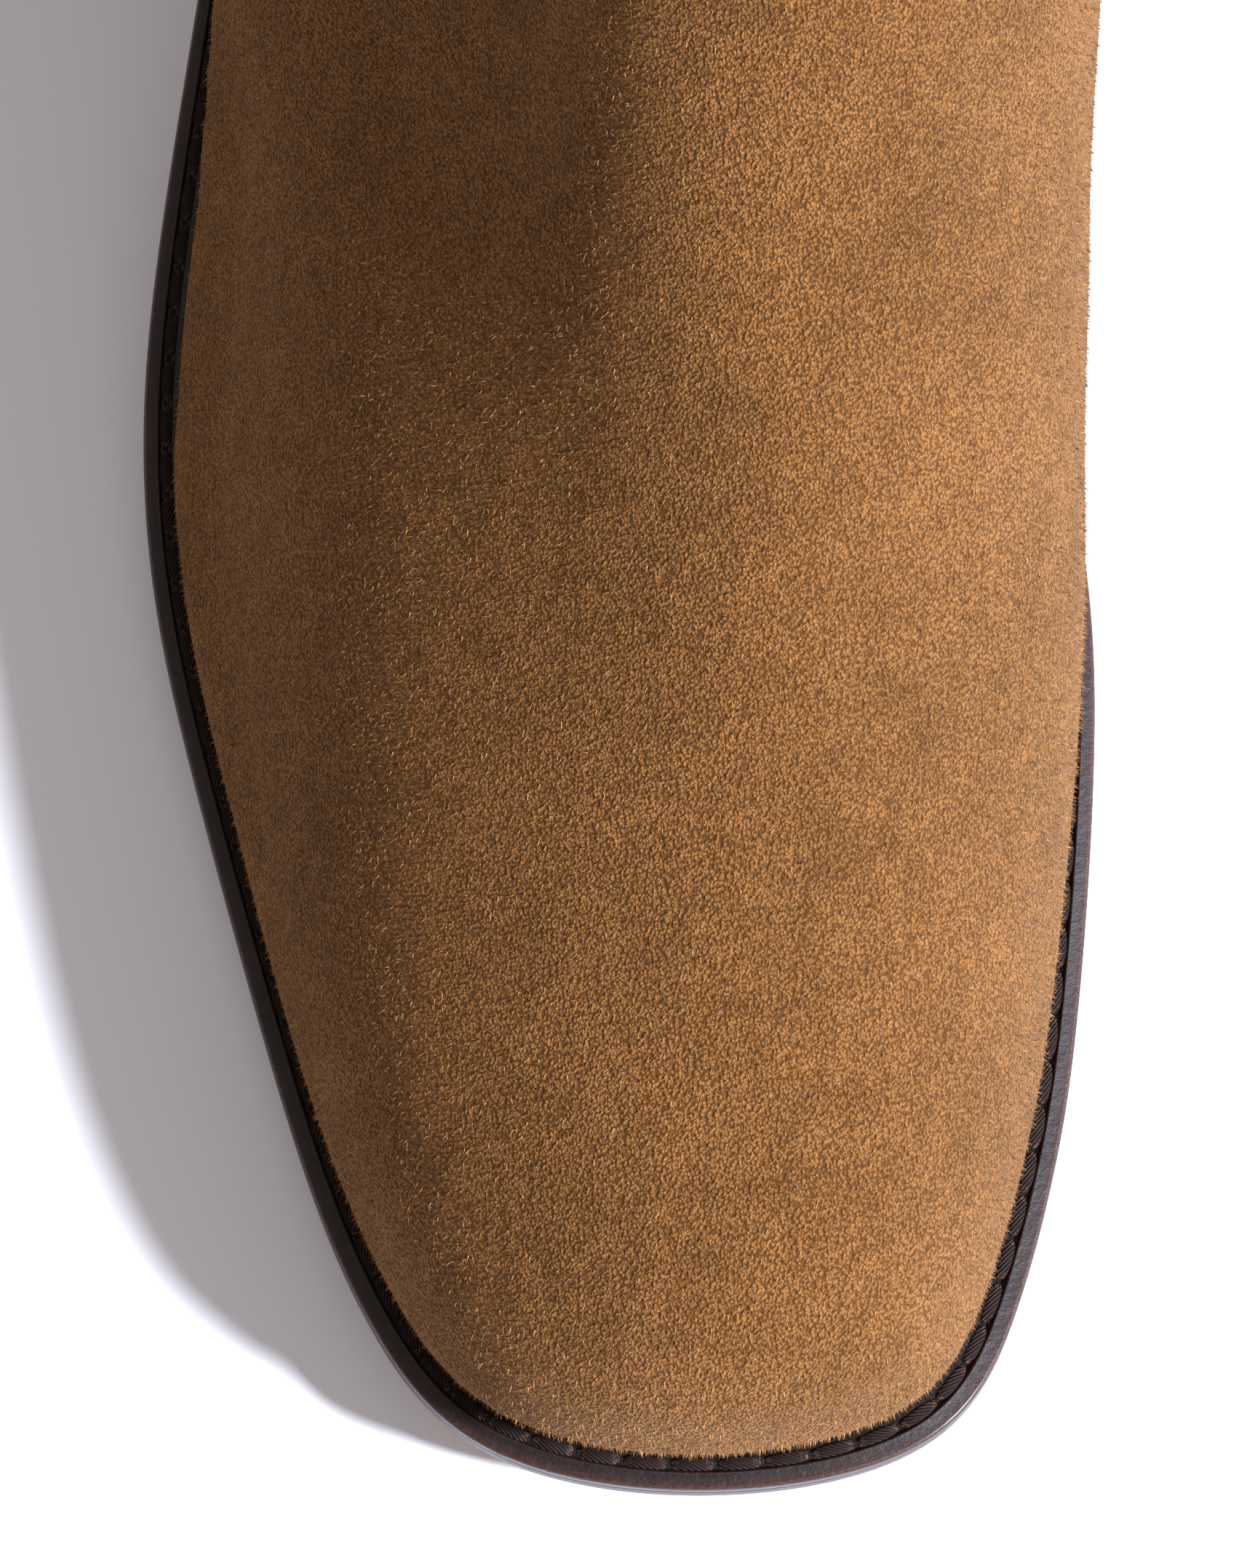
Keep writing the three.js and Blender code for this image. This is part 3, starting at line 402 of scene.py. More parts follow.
def sheet(name, key, u, v, near, far, turn=None, round_edge=0.35):
    """A closed sheet between two depths, which may be arrays, with turned-in edges at its foot."""
    p, out = skin(key, u, v)
    layers = []
    for depth, level in ((near, turn and turn[0]), (far, turn and turn[1])):
        depth = np.broadcast_to(depth, u.shape)
        grid = p - out * depth[..., None]
        if turn:
            margins = []
            foot = depth[0]
            for inset, rise in ((LASTING_MARGIN, 0), (foot + FOOT_BEND, 0), (foot, FOOT_RISE)):
                x, y = along(feather, u[0], inset).T
                margins.append(np.stack([x, y, lift(y) + level + rise], 1))
            grid = np.concatenate([np.array(margins), grid])
        layers.append(grid)
    high, wide = layers[0].shape[:2]
    number = grid_numbers(high, wide)
    faces = two_sides(number, number + number.size)
    rim = grid_border(number)
    inward = np.r_[
        number[1], number[1:-1, -2], number[-2, -2], number[-2, -2::-1], number[-2:0:-1, 1]
    ]
    flat = [layer.reshape(-1, 3) for layer in layers]
    push = flat[0][rim] - flat[0][inward]
    push /= np.maximum(np.linalg.norm(push, axis=1, keepdims=True), 1e-6)
    thick = np.linalg.norm(flat[0][rim] - flat[1][rim], axis=1, keepdims=True)
    middle = (flat[0][rim] + flat[1][rim]) / 2 + push * thick * round_edge
    mid = np.arange(len(rim)) + 2 * number.size
    rim, mid = np.r_[rim, rim[0]], np.r_[mid, mid[0]]
    faces += [strip(mid, rim), strip(rim + number.size, mid)]
    return new_object(name, np.concatenate(flat + [middle]), np.concatenate(faces))


# %% [markdown]
# ## Cutting the upper
#
# A chelsea boot has two pieces of suede: the vamp runs from the toe up the front of the shaft, and
# the quarter wraps the heel and the back. They meet at a short seam on each side, and above it a
# wide gap between them holds the elastic.

# %% The cut lines
GORE_MIDDLE = 0.2
GORE_BOTTOM = 0.44


def half_opening(v):
    """Half width of the gap for the elastic, or of the closed seam below it."""
    above = np.maximum(v - GORE_BOTTOM, 0)
    foot = 0.034 * np.sqrt(1 - (1 - np.clip(above / 0.1, 0, 1)) ** 2)
    return 0.0004 + foot + 0.034 * (above / (1 - GORE_BOTTOM)) ** 1.2


def spread(breaks, counts):
    """Values from one break to the next, each stretch split into its own number of steps."""
    parts = [
        np.linspace(a, b, n, endpoint=False) for a, b, n in zip(breaks, breaks[1:], counts)
    ]
    return np.r_[np.concatenate(parts), breaks[-1]]


FINE = 1.0


def steps(*counts):
    return [max(2, int(n * FINE)) for n in counts]


ROWS = spread([0, 0.13, 0.2, GORE_BOTTOM, 0.45, 0.54, 1], steps(12, 10, 26, 4, 12, 40))
VAMP_ACROSS = spread([0, 0.25, 0.75, 1], steps(34, 96, 34))
QUARTER_ACROSS = np.linspace(0, 1, steps(90)[0])


def vamp_grid():
    v, s = np.meshgrid(ROWS, VAMP_ACROSS, indexing="ij")
    edge = GORE_MIDDLE + half_opening(v)
    return mix(edge, 1 - edge, s), v


def quarter_grid():
    v, s = np.meshgrid(ROWS, QUARTER_ACROSS, indexing="ij")
    edge = GORE_MIDDLE - half_opening(v)
    return mix(-edge, edge, s), v


print("grids:", [part()[0].shape for part in (vamp_grid, quarter_grid)])

# %% Suede
UPPER, GAP = 1.4, 0.3
vamp_u, vamp_v = vamp_grid()
quarter_u, quarter_v = quarter_grid()
UPPER_TURN = (5.5, 6.9)
vamp = sheet("vamp", "vamp", vamp_u, vamp_v, 0.0, UPPER, UPPER_TURN)
quarter = sheet("quarter", "quarter", quarter_u, quarter_v, 0.0, UPPER, UPPER_TURN)
print("suede:", len(vamp.data.polygons), "and", len(quarter.data.polygons), "faces")

# %% [markdown]
# ## Lining and elastic
#
# The lining repeats the two pieces of the upper, a little deeper. Where a stiffener or the elastic
# lies between the two, it goes deeper still. The elastic is a ribbed web: its ribs are real ridges in
# the mesh, because they catch the light at the edge of the opening, where a bump would look flat.

# %% The lining
UNDER_UPPER, DEEP_LINING, LINING = 1.7, 3.4, 1.0
TUCK = 0.024  # share of the way round by which the elastic reaches under the suede
PUFF_SIDES, PUFF_TOP, COUNTER_TOP = (0.29, 0.71), 0.34, 0.445


def near_to(x, low, high, ramp):
    """1 between two values, fading to 0 beyond them."""
    return ease(1 - np.maximum(np.maximum(low - x, x - high), 0) / ramp)


def lining_depth(u, v):
    turn = np.mod(u, 1)
    mirrored = np.minimum(turn, 1 - turn)
    over_puff = near_to(turn, *PUFF_SIDES, 0.04) * near_to(v, 0, PUFF_TOP, 0.05)
    over_counter = near_to(mirrored, 0, GORE_MIDDLE, 0.02) * near_to(v, 0, COUNTER_TOP, 0.02)
    reach = half_opening(np.maximum(v, GORE_BOTTOM + 0.04)) + TUCK + 0.007
    over_gore = near_to(mirrored, GORE_MIDDLE - reach, GORE_MIDDLE + reach, 0.03)
    over_gore = over_gore * near_to(v, GORE_BOTTOM - 0.07, 1, 0.05)
    deep = np.maximum(np.maximum(over_puff, over_counter), over_gore)
    return mix(UNDER_UPPER, DEEP_LINING, deep)


LINING_TURN = (7.2, 8.2)
linings = []
for name, u, v in (("vamp", vamp_u, vamp_v), ("quarter", quarter_u, quarter_v)):
    depth = lining_depth(u, v)
    linings.append(sheet(name + "_lining", name, u, v, depth, depth + LINING, LINING_TURN))
vamp_lining, quarter_lining = linings
print("lining:", [len(piece.data.polygons) for piece in linings], "faces")

# %% The elastic
GORE_DEPTH, GORE_THICKNESS = 1.85, 1.1
RIB_PITCH, RIB_RISE = 1.15, 0.2


def gore(name, middle):
    v, s = np.meshgrid(
        np.linspace(GORE_BOTTOM + 0.006, 1, steps(44)[0]), np.linspace(-1, 1, steps(300)[0]),
        indexing="ij",
    )
    reach = np.maximum(half_opening(v), half_opening(GORE_BOTTOM + 0.04)) + TUCK
    u = middle + s * reach
    p, _ = skin(name, u, v)
    run = np.linalg.norm(np.diff(p, axis=1), axis=2)
    across = np.c_[np.zeros(len(run)), np.cumsum(run, axis=1)]
    across = across - across[:, [across.shape[1] // 2]]
    ribs = RIB_RISE * (0.5 - 0.5 * np.cos(2 * np.pi * across / RIB_PITCH))
    return sheet(name, name, u, v, GORE_DEPTH + ribs, GORE_DEPTH + GORE_THICKNESS)


gores = [gore("lateral_gore", GORE_MIDDLE), gore("medial_gore", 1 - GORE_MIDDLE)]
print("elastic:", len(gores[0].data.polygons), "faces each")

# %% [markdown]
# ## Flat pieces with shaped edges
#
# The outsole, the heel lifts, the insole and the sock are plates cut to an outline. Each edge is a
# short profile, swept round the outline, and the two flat sides are filled with a Delaunay
# triangulation, which keeps the triangles even where the plate bends with the sole.

# %% Outlines, cut and filled
def spaced(path, count):
    """A path's points, spaced evenly."""
    far = np.r_[0, np.cumsum(np.linalg.norm(np.diff(path, axis=0), axis=1))]
    want = np.linspace(0, far[-1], count)
    return np.stack([np.interp(want, far, path[:, k]) for k in range(path.shape[1])], 1)


def behind(loop, y):
    """The part of a loop behind a straight cut, with the cut's own points at the end."""
    n = len(loop)
    start = int(np.argmax((loop[:, 1] < y) & (np.roll(loop, -1, 0)[:, 1] >= y)))
    turned = np.roll(loop, -start - 1, 0)
    keep = turned[: int(np.argmax(turned[:, 1] < y))]
    ends = []
    for a, b in ((turned[-1], keep[0]), (keep[-1], turned[len(keep)])):
        ends.append(mix(a, b, (y - a[1]) / (b[1] - a[1])))
    around = spaced(np.concatenate([[ends[0]], keep, [ends[1]]]), n)
    return np.concatenate([around, spaced(np.array([ends[1], ends[0]]), 24)[1:-1]])


def fill(outline, holes=(), spacing=7.0):
    """Triangles that fill an outline around its holes, with even points inside."""
    low, high = outline.min(0), outline.max(0)
    xs, ys = (np.arange(low[k], high[k], spacing) for k in (0, 1))
    inside = np.stack(np.meshgrid(xs, ys), -1).reshape(-1, 2)
    for loop, sign in [(outline, 1)] + [(hole, -1) for hole in holes]:
        distance, _ = nearest(loop, inside[:, 0], inside[:, 1])
        inside = inside[distance * sign < -0.4 * spacing]
    loops = [outline, *holes]
    starts = np.cumsum([0] + [len(loop) for loop in loops])
    rings = [list(range(a, b)) for a, b in zip(starts, starts[1:])]
    points = np.concatenate(loops + [inside])
    made = geometry.delaunay_2d_cdt([Vector(p) for p in points], [], rings, 1, 1e-7)
    places, triangles = np.array([tuple(p) for p in made[0]]), np.array(made[2])
    middle = places[triangles].mean(1)
    for hole in holes:
        distance, _ = nearest(hole, middle[:, 0], middle[:, 1])
        triangles, middle = triangles[distance > 0], middle[distance > 0]
    return places, triangles


# %% Plates
def plate(name, rows, height, holes=()):
    """A closed plate: rows of outlines from its underside to its top, each with its own level."""
    points, faces = [], []

    def put_in(more, levels, made):
        start = sum(map(len, points))
        points.append(np.c_[more, height(more[:, 1]) + levels])
        faces.extend((np.asarray(made) + start).tolist())

    count = len(rows[0][0])
    ring = np.arange(count + 1) % count
    walls = [strip(ring + k * count, ring + (k + 1) * count) for k in range(len(rows) - 1)]
    levels = np.repeat([level for _, level in rows], count)
    put_in(np.concatenate([loop for loop, _ in rows]), levels, np.concatenate(walls))
    for hole in holes:
        around = np.arange(len(hole) + 1) % len(hole)
        put_in(
            np.concatenate([hole, hole]), np.repeat([rows[0][1], rows[-1][1]], len(hole)),
            strip(around + len(hole), around),
        )
    for (loop, level), flip in ((rows[0], True), (rows[-1], False)):
        places, triangles = fill(loop, holes)
        put_in(places, level, triangles[:, ::-1] if flip else triangles)
    obj = new_object(name, np.concatenate(points), faces)
    loose = bmesh.new()
    loose.from_mesh(obj.data)
    bmesh.ops.remove_doubles(loose, verts=loose.verts, dist=1e-5)
    loose.to_mesh(obj.data)
    loose.free()
    obj.data.set_sharp_from_angle(angle=math.radians(35))
    return obj


def edge_rows(loop, bottom, top, soft=0.35, bow=0.0):
    """Rows for an edge with softened corners, which may bow outwards."""
    n = len(loop)
    share = np.arange(n) / n
    rows = []
    for t in (0.0, 0.35, 1.0):
        turn = t * math.pi / 2
        rows.append((soft * (1 - math.sin(turn)), bottom + soft * (1 - math.cos(turn))))
    rows.append((0.0, bottom + soft + 0.2 * (top - bottom - 2 * soft)))  # keeps the corner crisp
    middle = [(-bow, (bottom + top) / 2)] if bow else []
    rows += middle + [(inset, top + bottom - level) for inset, level in rows[::-1]]
    return [(along(loop, share, inset), level) for inset, level in rows]


# %% Outsole, insole and sock
EDGE_POINTS = 480
fine_sole = sole_loop(EDGE_POINTS)
fine_shares = np.arange(EDGE_POINTS) / EDGE_POINTS
fine_feather = along(fine_sole, fine_shares, through(FEATHER_INSET, fine_shares))
OUTSOLE = 5.0
INSOLE_LEVELS, SOCK_LEVELS = (8.7, 11.2), (11.5, 12.5)
INSOLE_INSET, SOCK_INSET = 5.4, 6.0
outsole = plate("outsole", edge_rows(fine_sole, 0, OUTSOLE, 0.45, 0.12), lift)
insole_loop, sock_loop = (along(fine_feather, fine_shares, k) for k in (INSOLE_INSET, SOCK_INSET))
insole = plate("insole", edge_rows(insole_loop, *INSOLE_LEVELS), lift)
sock_liner = plate("sock_liner", edge_rows(sock_loop, *SOCK_LEVELS, 0.3), lift)
print("plates:", [len(piece.data.polygons) for piece in (outsole, insole, sock_liner)], "faces")

# %% Heel
LIFTS, TOP_PIECE, HEEL_TAPER, BREAST_RAKE = 4, 6.0, 0.55, 3.5
LIFT_THICKNESS = (HEEL_HEIGHT - TOP_PIECE - GAP * (LIFTS + 1)) / LIFTS
NAIL_RADIUS, NAIL_SINK, NAIL_TOP, NAIL_CLEARANCE = 1.0, 0.5, 12.5, 0.15
NAILS_HALF, NAILS_LONG = 22, 34  # the nails stand in a half oval
nail_turn = np.linspace(0, np.pi, 5)
nail_places = np.stack(
    [NAILS_HALF * np.cos(nail_turn), HEEL_BREAST + NAILS_HALF + NAILS_LONG * np.sin(nail_turn)], 1
)
SIDES = 24
round_turn = np.arange(SIDES) / SIDES * 2 * np.pi
ROUND = np.stack([np.cos(round_turn), np.sin(round_turn)], 1)


def level_ground(y):
    return np.zeros_like(y)


heel = []
top = HEEL_HEIGHT - GAP
for k in range(1, LIFTS + 2):
    last = k > LIFTS
    bottom = 0.0 if last else top - LIFT_THICKNESS
    outline = along(fine_sole, fine_shares, HEEL_TAPER * k)
    rows = []
    for loop, level in edge_rows(outline, bottom, top, 0.4 if last else 0.22, 0.08):
        rake = BREAST_RAKE * (HEEL_HEIGHT - level) / HEEL_HEIGHT
        rows.append((behind(loop, HEEL_BREAST + 1 + rake), level))
    holes = [place + ROUND * (NAIL_RADIUS + NAIL_CLEARANCE) for place in nail_places if last]
    name = "heel_top_piece" if last else f"heel_lift_{k}"
    heel.append(plate(name, rows, level_ground, holes))
    top = bottom - GAP
print("heel:", [piece.name for piece in heel])

# %% Nails
HEAD_TOP = -0.02
HEAD = [(0.45, 0.0), (0.8, 0.1), (0.97, 0.32)]  # radius and depth of the domed head's rows
nails = []
ring = np.arange(SIDES + 1) % SIDES + 1
for i, place in enumerate(nail_places):
    profile = [(r, NAIL_SINK + z) for r, z in HEAD] + [(NAIL_RADIUS, NAIL_TOP)]
    rows = [np.c_[place + ROUND * r, np.full(SIDES, z)] for r, z in profile]
    points = np.concatenate([[[*place, NAIL_SINK + HEAD_TOP]], *rows, [[*place, NAIL_TOP]]])
    faces = [[0, b, a] for a, b in zip(ring, ring[1:])]
    for j in range(len(rows) - 1):
        faces += strip(ring + SIDES * j, ring + SIDES * (j + 1)).tolist()
    last_ring = ring + SIDES * (len(rows) - 1)
    faces += [[len(points) - 1, a, b] for a, b in zip(last_ring, last_ring[1:])]
    nail = new_object(f"heel_nail_{i + 1}", points, faces)
    nail.data.set_sharp_from_angle(angle=math.radians(40))
    nails.append(nail)
print("nails:", len(nails))

# %% [markdown]
# ## The welt
#
# The welt is the strip that the upper and the outsole are both sewn to. It is one cross-section swept
# along the outline: a rounded outer edge, a fine raised line, a channel for the seam, and the inner
# edge against the suede. The heel's rand is the same strip without the channel.

# %% Sweep a strip of welt
WELT_LEVELS = (5.3, 8.3)
WELT_CLEARANCE = 0.6
CHANNEL_HALF, CHANNEL_DEPTH = 0.72, 0.5
SEAT_SPLIT = 72.0


def seam_inset(u):
    """How far the seam lies in from the sole's edge."""
    return through(FEATHER_INSET, u) / 2 + 0.2


def welt_strip(name, shares, channel):
    bottom, top = WELT_LEVELS
    inner = through(FEATHER_INSET, shares) - WELT_CLEARANCE
    seam = seam_inset(shares)
    left, right = seam - CHANNEL_HALF, np.minimum(seam + CHANNEL_HALF, inner - 0.2)
    none = np.zeros_like(shares)
    drop = CHANNEL_DEPTH if channel else 0.0
    bead = 0.1 if channel else 0.0
    section = [  # inset, level, and how much wear shows there; -1 marks the channel's floor, which gets painted shade
        (none + 0.3, bottom, 0), (none, bottom + 0.3, 0), (none - 0.06, (bottom + top) / 2, 0),
        (none, top - 0.45, 0.3), (none + 0.14, top - 0.15, 1), (none + 0.42, top, 0.5),
        (left - 0.42, top, 0), (left - 0.3, top + bead, 0.3), (left - 0.16, top + bead, 0.3),
        (left - 0.02, top - 0.05 * channel, 0.2), (left + 0.16, top - drop, -1),
        (right - 0.16, top - drop, -1), (right, top - 0.05 * channel, 0), (inner - 0.1, top, 0),
        (inner, top - 0.15, 0), (inner, bottom + 0.2, 0), (inner - 0.2, bottom, 0),
    ]
    rows = []
    for inset, level, _ in section:
        x, y = along(fine_sole, shares, inset).T
        rows.append(np.stack([x, y, lift(y) + level], 1))
    count, high = len(shares), len(rows)
    faces = []
    for k in range(high):
        a, b = np.arange(count) + k * count, np.arange(count) + (k + 1) % high * count
        faces += strip(a, b).tolist()
    faces += [[k * count for k in range(high)], [k * count + count - 1 for k in range(high)][::-1]]
    obj = new_object(name, np.concatenate(rows), faces)
    store(obj, "rub", np.repeat([float(rub) for *_, rub in section], count))
    obj.data.set_sharp_from_angle(angle=math.radians(50))
    return obj


# %% Welt and rand
HALF_WAY = 2000
round_share = np.linspace(0, 1, 2 * HALF_WAY + 1)
round_y = along(fine_sole, round_share)[:, 1]
lateral_end = np.interp(SEAT_SPLIT, round_y[HALF_WAY::-1], round_share[HALF_WAY::-1])
medial_end = np.interp(SEAT_SPLIT, round_y[HALF_WAY:], round_share[HALF_WAY:])
SPLIT_SHARE = 0.3 / 700
welt = welt_strip("welt", np.linspace(lateral_end, medial_end, 620), True)
heel_rand = welt_strip(
    "heel_rand", np.linspace(medial_end + SPLIT_SHARE, 1 + lateral_end - SPLIT_SHARE, 260), False
)
print("welt ends at", round(float(lateral_end), 4), round(float(medial_end), 4), "of the way round")

# %% [markdown]
# ## Pull tabs
#
# Each tab is one length of webbing: it starts inside the lining, runs up over the topline, makes a
# loop, and goes back down beside itself.

# %% Webbing strips
TAB_WIDTH, TAB_RISE, STUB = 22.0, 3.4, 2.6
WEBBING, TAIL_DEPTH, TAIL_LENGTH, TAIL_GAP = 1.2, 3.1, 22.0, 0.6
TAIL_ROWS, TAB_ACROSS = 18, 25
LOOP = [  # half of the loop seen from the side: out from the fold, and up
    (0.62, -STUB), (0.62, -0.6), (0.8, 2.0), (2.7, 5.3), (4.8, 9.4), (5.6, 13.2), (5.45, 17.0),
    (4.35, 20.3), (2.4, 22.6), (0.0, 23.4),
]


def rounded(path, count):
    """A smooth path through points."""
    path = np.array(path, float)
    at = np.arange(len(path))
    fine = np.linspace(0, len(path) - 1, 400)
    curve = [through(np.stack([at, path[:, k]], 1), fine) for k in range(path.shape[1])]
    return spaced(np.stack(curve, 1), count)


def outward_faces(obj):
    """Turns the faces of a closed mesh outwards."""
    loose = bmesh.new()
    loose.from_mesh(obj.data)
    bmesh.ops.recalc_face_normals(loose, faces=loose.faces)
    loose.to_mesh(obj.data)
    loose.free()


def tab_tails(u, side):
    """The two sewn ends of a tab, one behind the other, on the inside of the lining."""
    ends, _ = face(np.array([u - 0.01, u + 0.01]), np.ones(2))
    half_turn = 0.01 * TAB_WIDTH / np.linalg.norm(ends[1] - ends[0])
    v = np.linspace(1, 0.8, 60)
    middle, _ = face(np.full(len(v), float(u)), v)
    low = np.interp(SHAFT_HEIGHT - TAIL_LENGTH, middle[::-1, 2], v[::-1])
    vs, ss = np.meshgrid(np.linspace(low, 1, TAIL_ROWS), side, indexing="ij")
    p, out = (a.reshape(*ss.shape, 3) for a in face((u + ss * half_turn).ravel(), vs.ravel()))
    if p[0, -1, 0] < p[0, 0, 0]:
        p, out = p[:, ::-1], out[:, ::-1]
    return [p - out * (TAIL_DEPTH + d) for d in (TAIL_GAP, TAIL_GAP + WEBBING)]


def pull_tab(name, u):
    fold_y = float(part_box(name)[0].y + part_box(name)[1].y) / 2 / MM
    fold_z = SHAFT_HEIGHT + TAB_RISE
    side = np.linspace(-1, 1, TAB_ACROSS)
    tails = tab_tails(u, side)
    if u:
        tails = tails[::-1]
    right = rounded(LOOP, 40)
    left = np.c_[-right[:, 0], right[:, 1]]
    loop = np.concatenate([left, right[-2::-1]])
    x = SHAFT_SIDE + side * TAB_WIDTH / 2
    rows = [np.stack([x, 0 * x + fold_y + dy, 0 * x + fold_z + dz], 1) for dy, dz in loop]
    grid = np.concatenate([tails[1], np.array(rows), tails[0][::-1]])
    n = np.cross(np.gradient(grid, axis=1), np.gradient(grid, axis=0))
    n /= np.linalg.norm(n, axis=2, keepdims=True)
    selvedge = 0.5 - 0.14 * ease((np.abs(side) - 0.86) / 0.14)
    half = (selvedge * WEBBING)[None, :, None]
    number = grid_numbers(*grid.shape[:2])
    rim = grid_border(number)
    rim = np.r_[rim, rim[0]]
    faces = two_sides(number, number + number.size) + [strip(rim + number.size, rim)]
    points = np.concatenate([grid + n * half, grid - n * half]).reshape(-1, 3)
    obj = new_object(name + "_webbing", points, np.concatenate(faces))
    run = np.r_[0, np.cumsum(np.linalg.norm(np.diff(grid[:, TAB_ACROSS // 2], axis=0), axis=1))]
    across, lengthwise = np.meshgrid(side * TAB_WIDTH / 2, run)
    place = np.stack([across, lengthwise, 0 * across], 2)
    store(obj, "weave", np.tile(place.reshape(-1, 3) * MM, (2, 1)))
    outward_faces(obj)
    return obj


front_tab, rear_tab = pull_tab("front_pull_tab", 0.5), pull_tab("rear_pull_tab", 0.0)
print("webbing:", len(front_tab.data.polygons), "faces each")

# %% [markdown]
# ## Node helpers
#
# Materials and Geometry Nodes are both trees of nodes. One short function adds a node, sets its
# options and fills its inputs with values or links, so that each tree below reads as a recipe.

# %% Building node trees
def put(tree, kind, inputs=(), **options):
    """A new node, with inputs given as a value, a node or a socket."""
    node = tree.nodes.new(kind)
    for key, value in options.items():
        setattr(node, key, value)
    for key, value in dict(inputs).items():
        if isinstance(key, str):
            socket = next(s for s in node.inputs if s.name == key and s.enabled)
        else:
            socket = node.inputs[key]
        if isinstance(value, bpy.types.Node):
            value = next(s for s in value.outputs if s.enabled)
        if isinstance(value, bpy.types.NodeSocket):
            tree.links.new(value, socket)
        else:
            socket.default_value = value
    return node


def maths(tree, operation, *values):
    return put(tree, "ShaderNodeMath", dict(enumerate(values)), operation=operation)


def scaled(tree, vector, by):
    return put(tree, "ShaderNodeVectorMath", {0: vector, "Scale": by}, operation="SCALE")


def new_tree(name, kind, inputs, outputs):
    """An empty group with named inputs and outputs."""
    tree = bpy.data.node_groups.new(name, kind)
    for label, socket, value in inputs:
        made = tree.interface.new_socket(label, in_out="INPUT", socket_type="NodeSocket" + socket)
        if value is not None:
            made.default_value = value
    for label, socket in outputs:
        tree.interface.new_socket(label, in_out="OUTPUT", socket_type="NodeSocket" + socket)
    return tree, tree.nodes.new("NodeGroupInput").outputs, tree.nodes.new("NodeGroupOutput")


def grow(source, tree, name, **settings):
    """Runs a tree on an object, keeps the result as a plain mesh, and removes the object."""
    modifier = source.modifiers.new("grow", "NODES")
    modifier.node_group = tree
    for item in tree.interface.items_tree:
        if item.in_out == "INPUT" and item.name in settings:
            modifier[item.identifier] = settings[item.name]
    graph = bpy.context.evaluated_depsgraph_get()
    mesh = bpy.data.meshes.new_from_object(
        source.evaluated_get(graph), preserve_all_data_layers=True, depsgraph=graph
    )
    mesh.name = name
    obj = bpy.data.objects.new(name, mesh)
    bpy.context.scene.collection.objects.link(obj)
    bpy.data.objects.remove(source)
    print(name + ":", len(mesh.polygons), "faces")
    return obj


# %% [markdown]
# ## Finishes
#
# Every finish starts from the same two ingredients, made once as node groups. *Mottle* is uneven
# colour or height at a chosen size in millimetres, with a finer layer over it. *Rub* is a broken mask
# for scuffs and worn places. Each material gives them its own sizes.

# %% Shared ingredients
MOTTLE, given, result = new_tree(
    "mottle", "ShaderNodeTree",
    [("Place", "Vector", None), ("Size", "Float", 1.0), ("Stretch", "Vector", (1, 1, 1))],
    [("Value", "Float"), ("Fine", "Float")],
)
per_metre = maths(MOTTLE, "DIVIDE", 1000.0, given["Size"])
sized = scaled(MOTTLE, given["Place"], per_metre)
drawn = put(MOTTLE, "ShaderNodeVectorMath", {0: sized, 1: given["Stretch"]}, operation="MULTIPLY")
for output, scale, detail, roughness in (("Value", 1.0, 3.0, 0.6), ("Fine", 4.3, 2.0, 0.7)):
    noise = {"Vector": drawn, "Scale": scale, "Detail": detail, "Roughness": roughness}
    drawing = put(MOTTLE, "ShaderNodeTexNoise", noise)
    MOTTLE.links.new(drawing.outputs[0], result.inputs[output])

RUB, given, result = new_tree(
    "rub", "ShaderNodeTree",
    [("Place", "Vector", None), ("Size", "Float", 4.0), ("Amount", "Float", 0.4)],
    [("Mask", "Float")],
)
sizes = {"Place": given["Place"], "Size": given["Size"]}
worn = put(RUB, "ShaderNodeGroup", sizes, node_tree=MOTTLE).outputs
broad, fine = maths(RUB, "MULTIPLY", worn[0], 0.65), maths(RUB, "MULTIPLY", worn[1], 0.35)
both = maths(RUB, "ADD", broad, fine)
floor_level = maths(RUB, "SUBTRACT", 0.72, maths(RUB, "MULTIPLY", given["Amount"], 0.45))
cut_off = put(
    RUB, "ShaderNodeMapRange",
    {"Value": both, "From Min": floor_level, "From Max": maths(RUB, "ADD", floor_level, 0.09)},
)
RUB.links.new(cut_off.outputs[0], result.inputs["Mask"])
print("groups:", [tree.name for tree in bpy.data.node_groups])


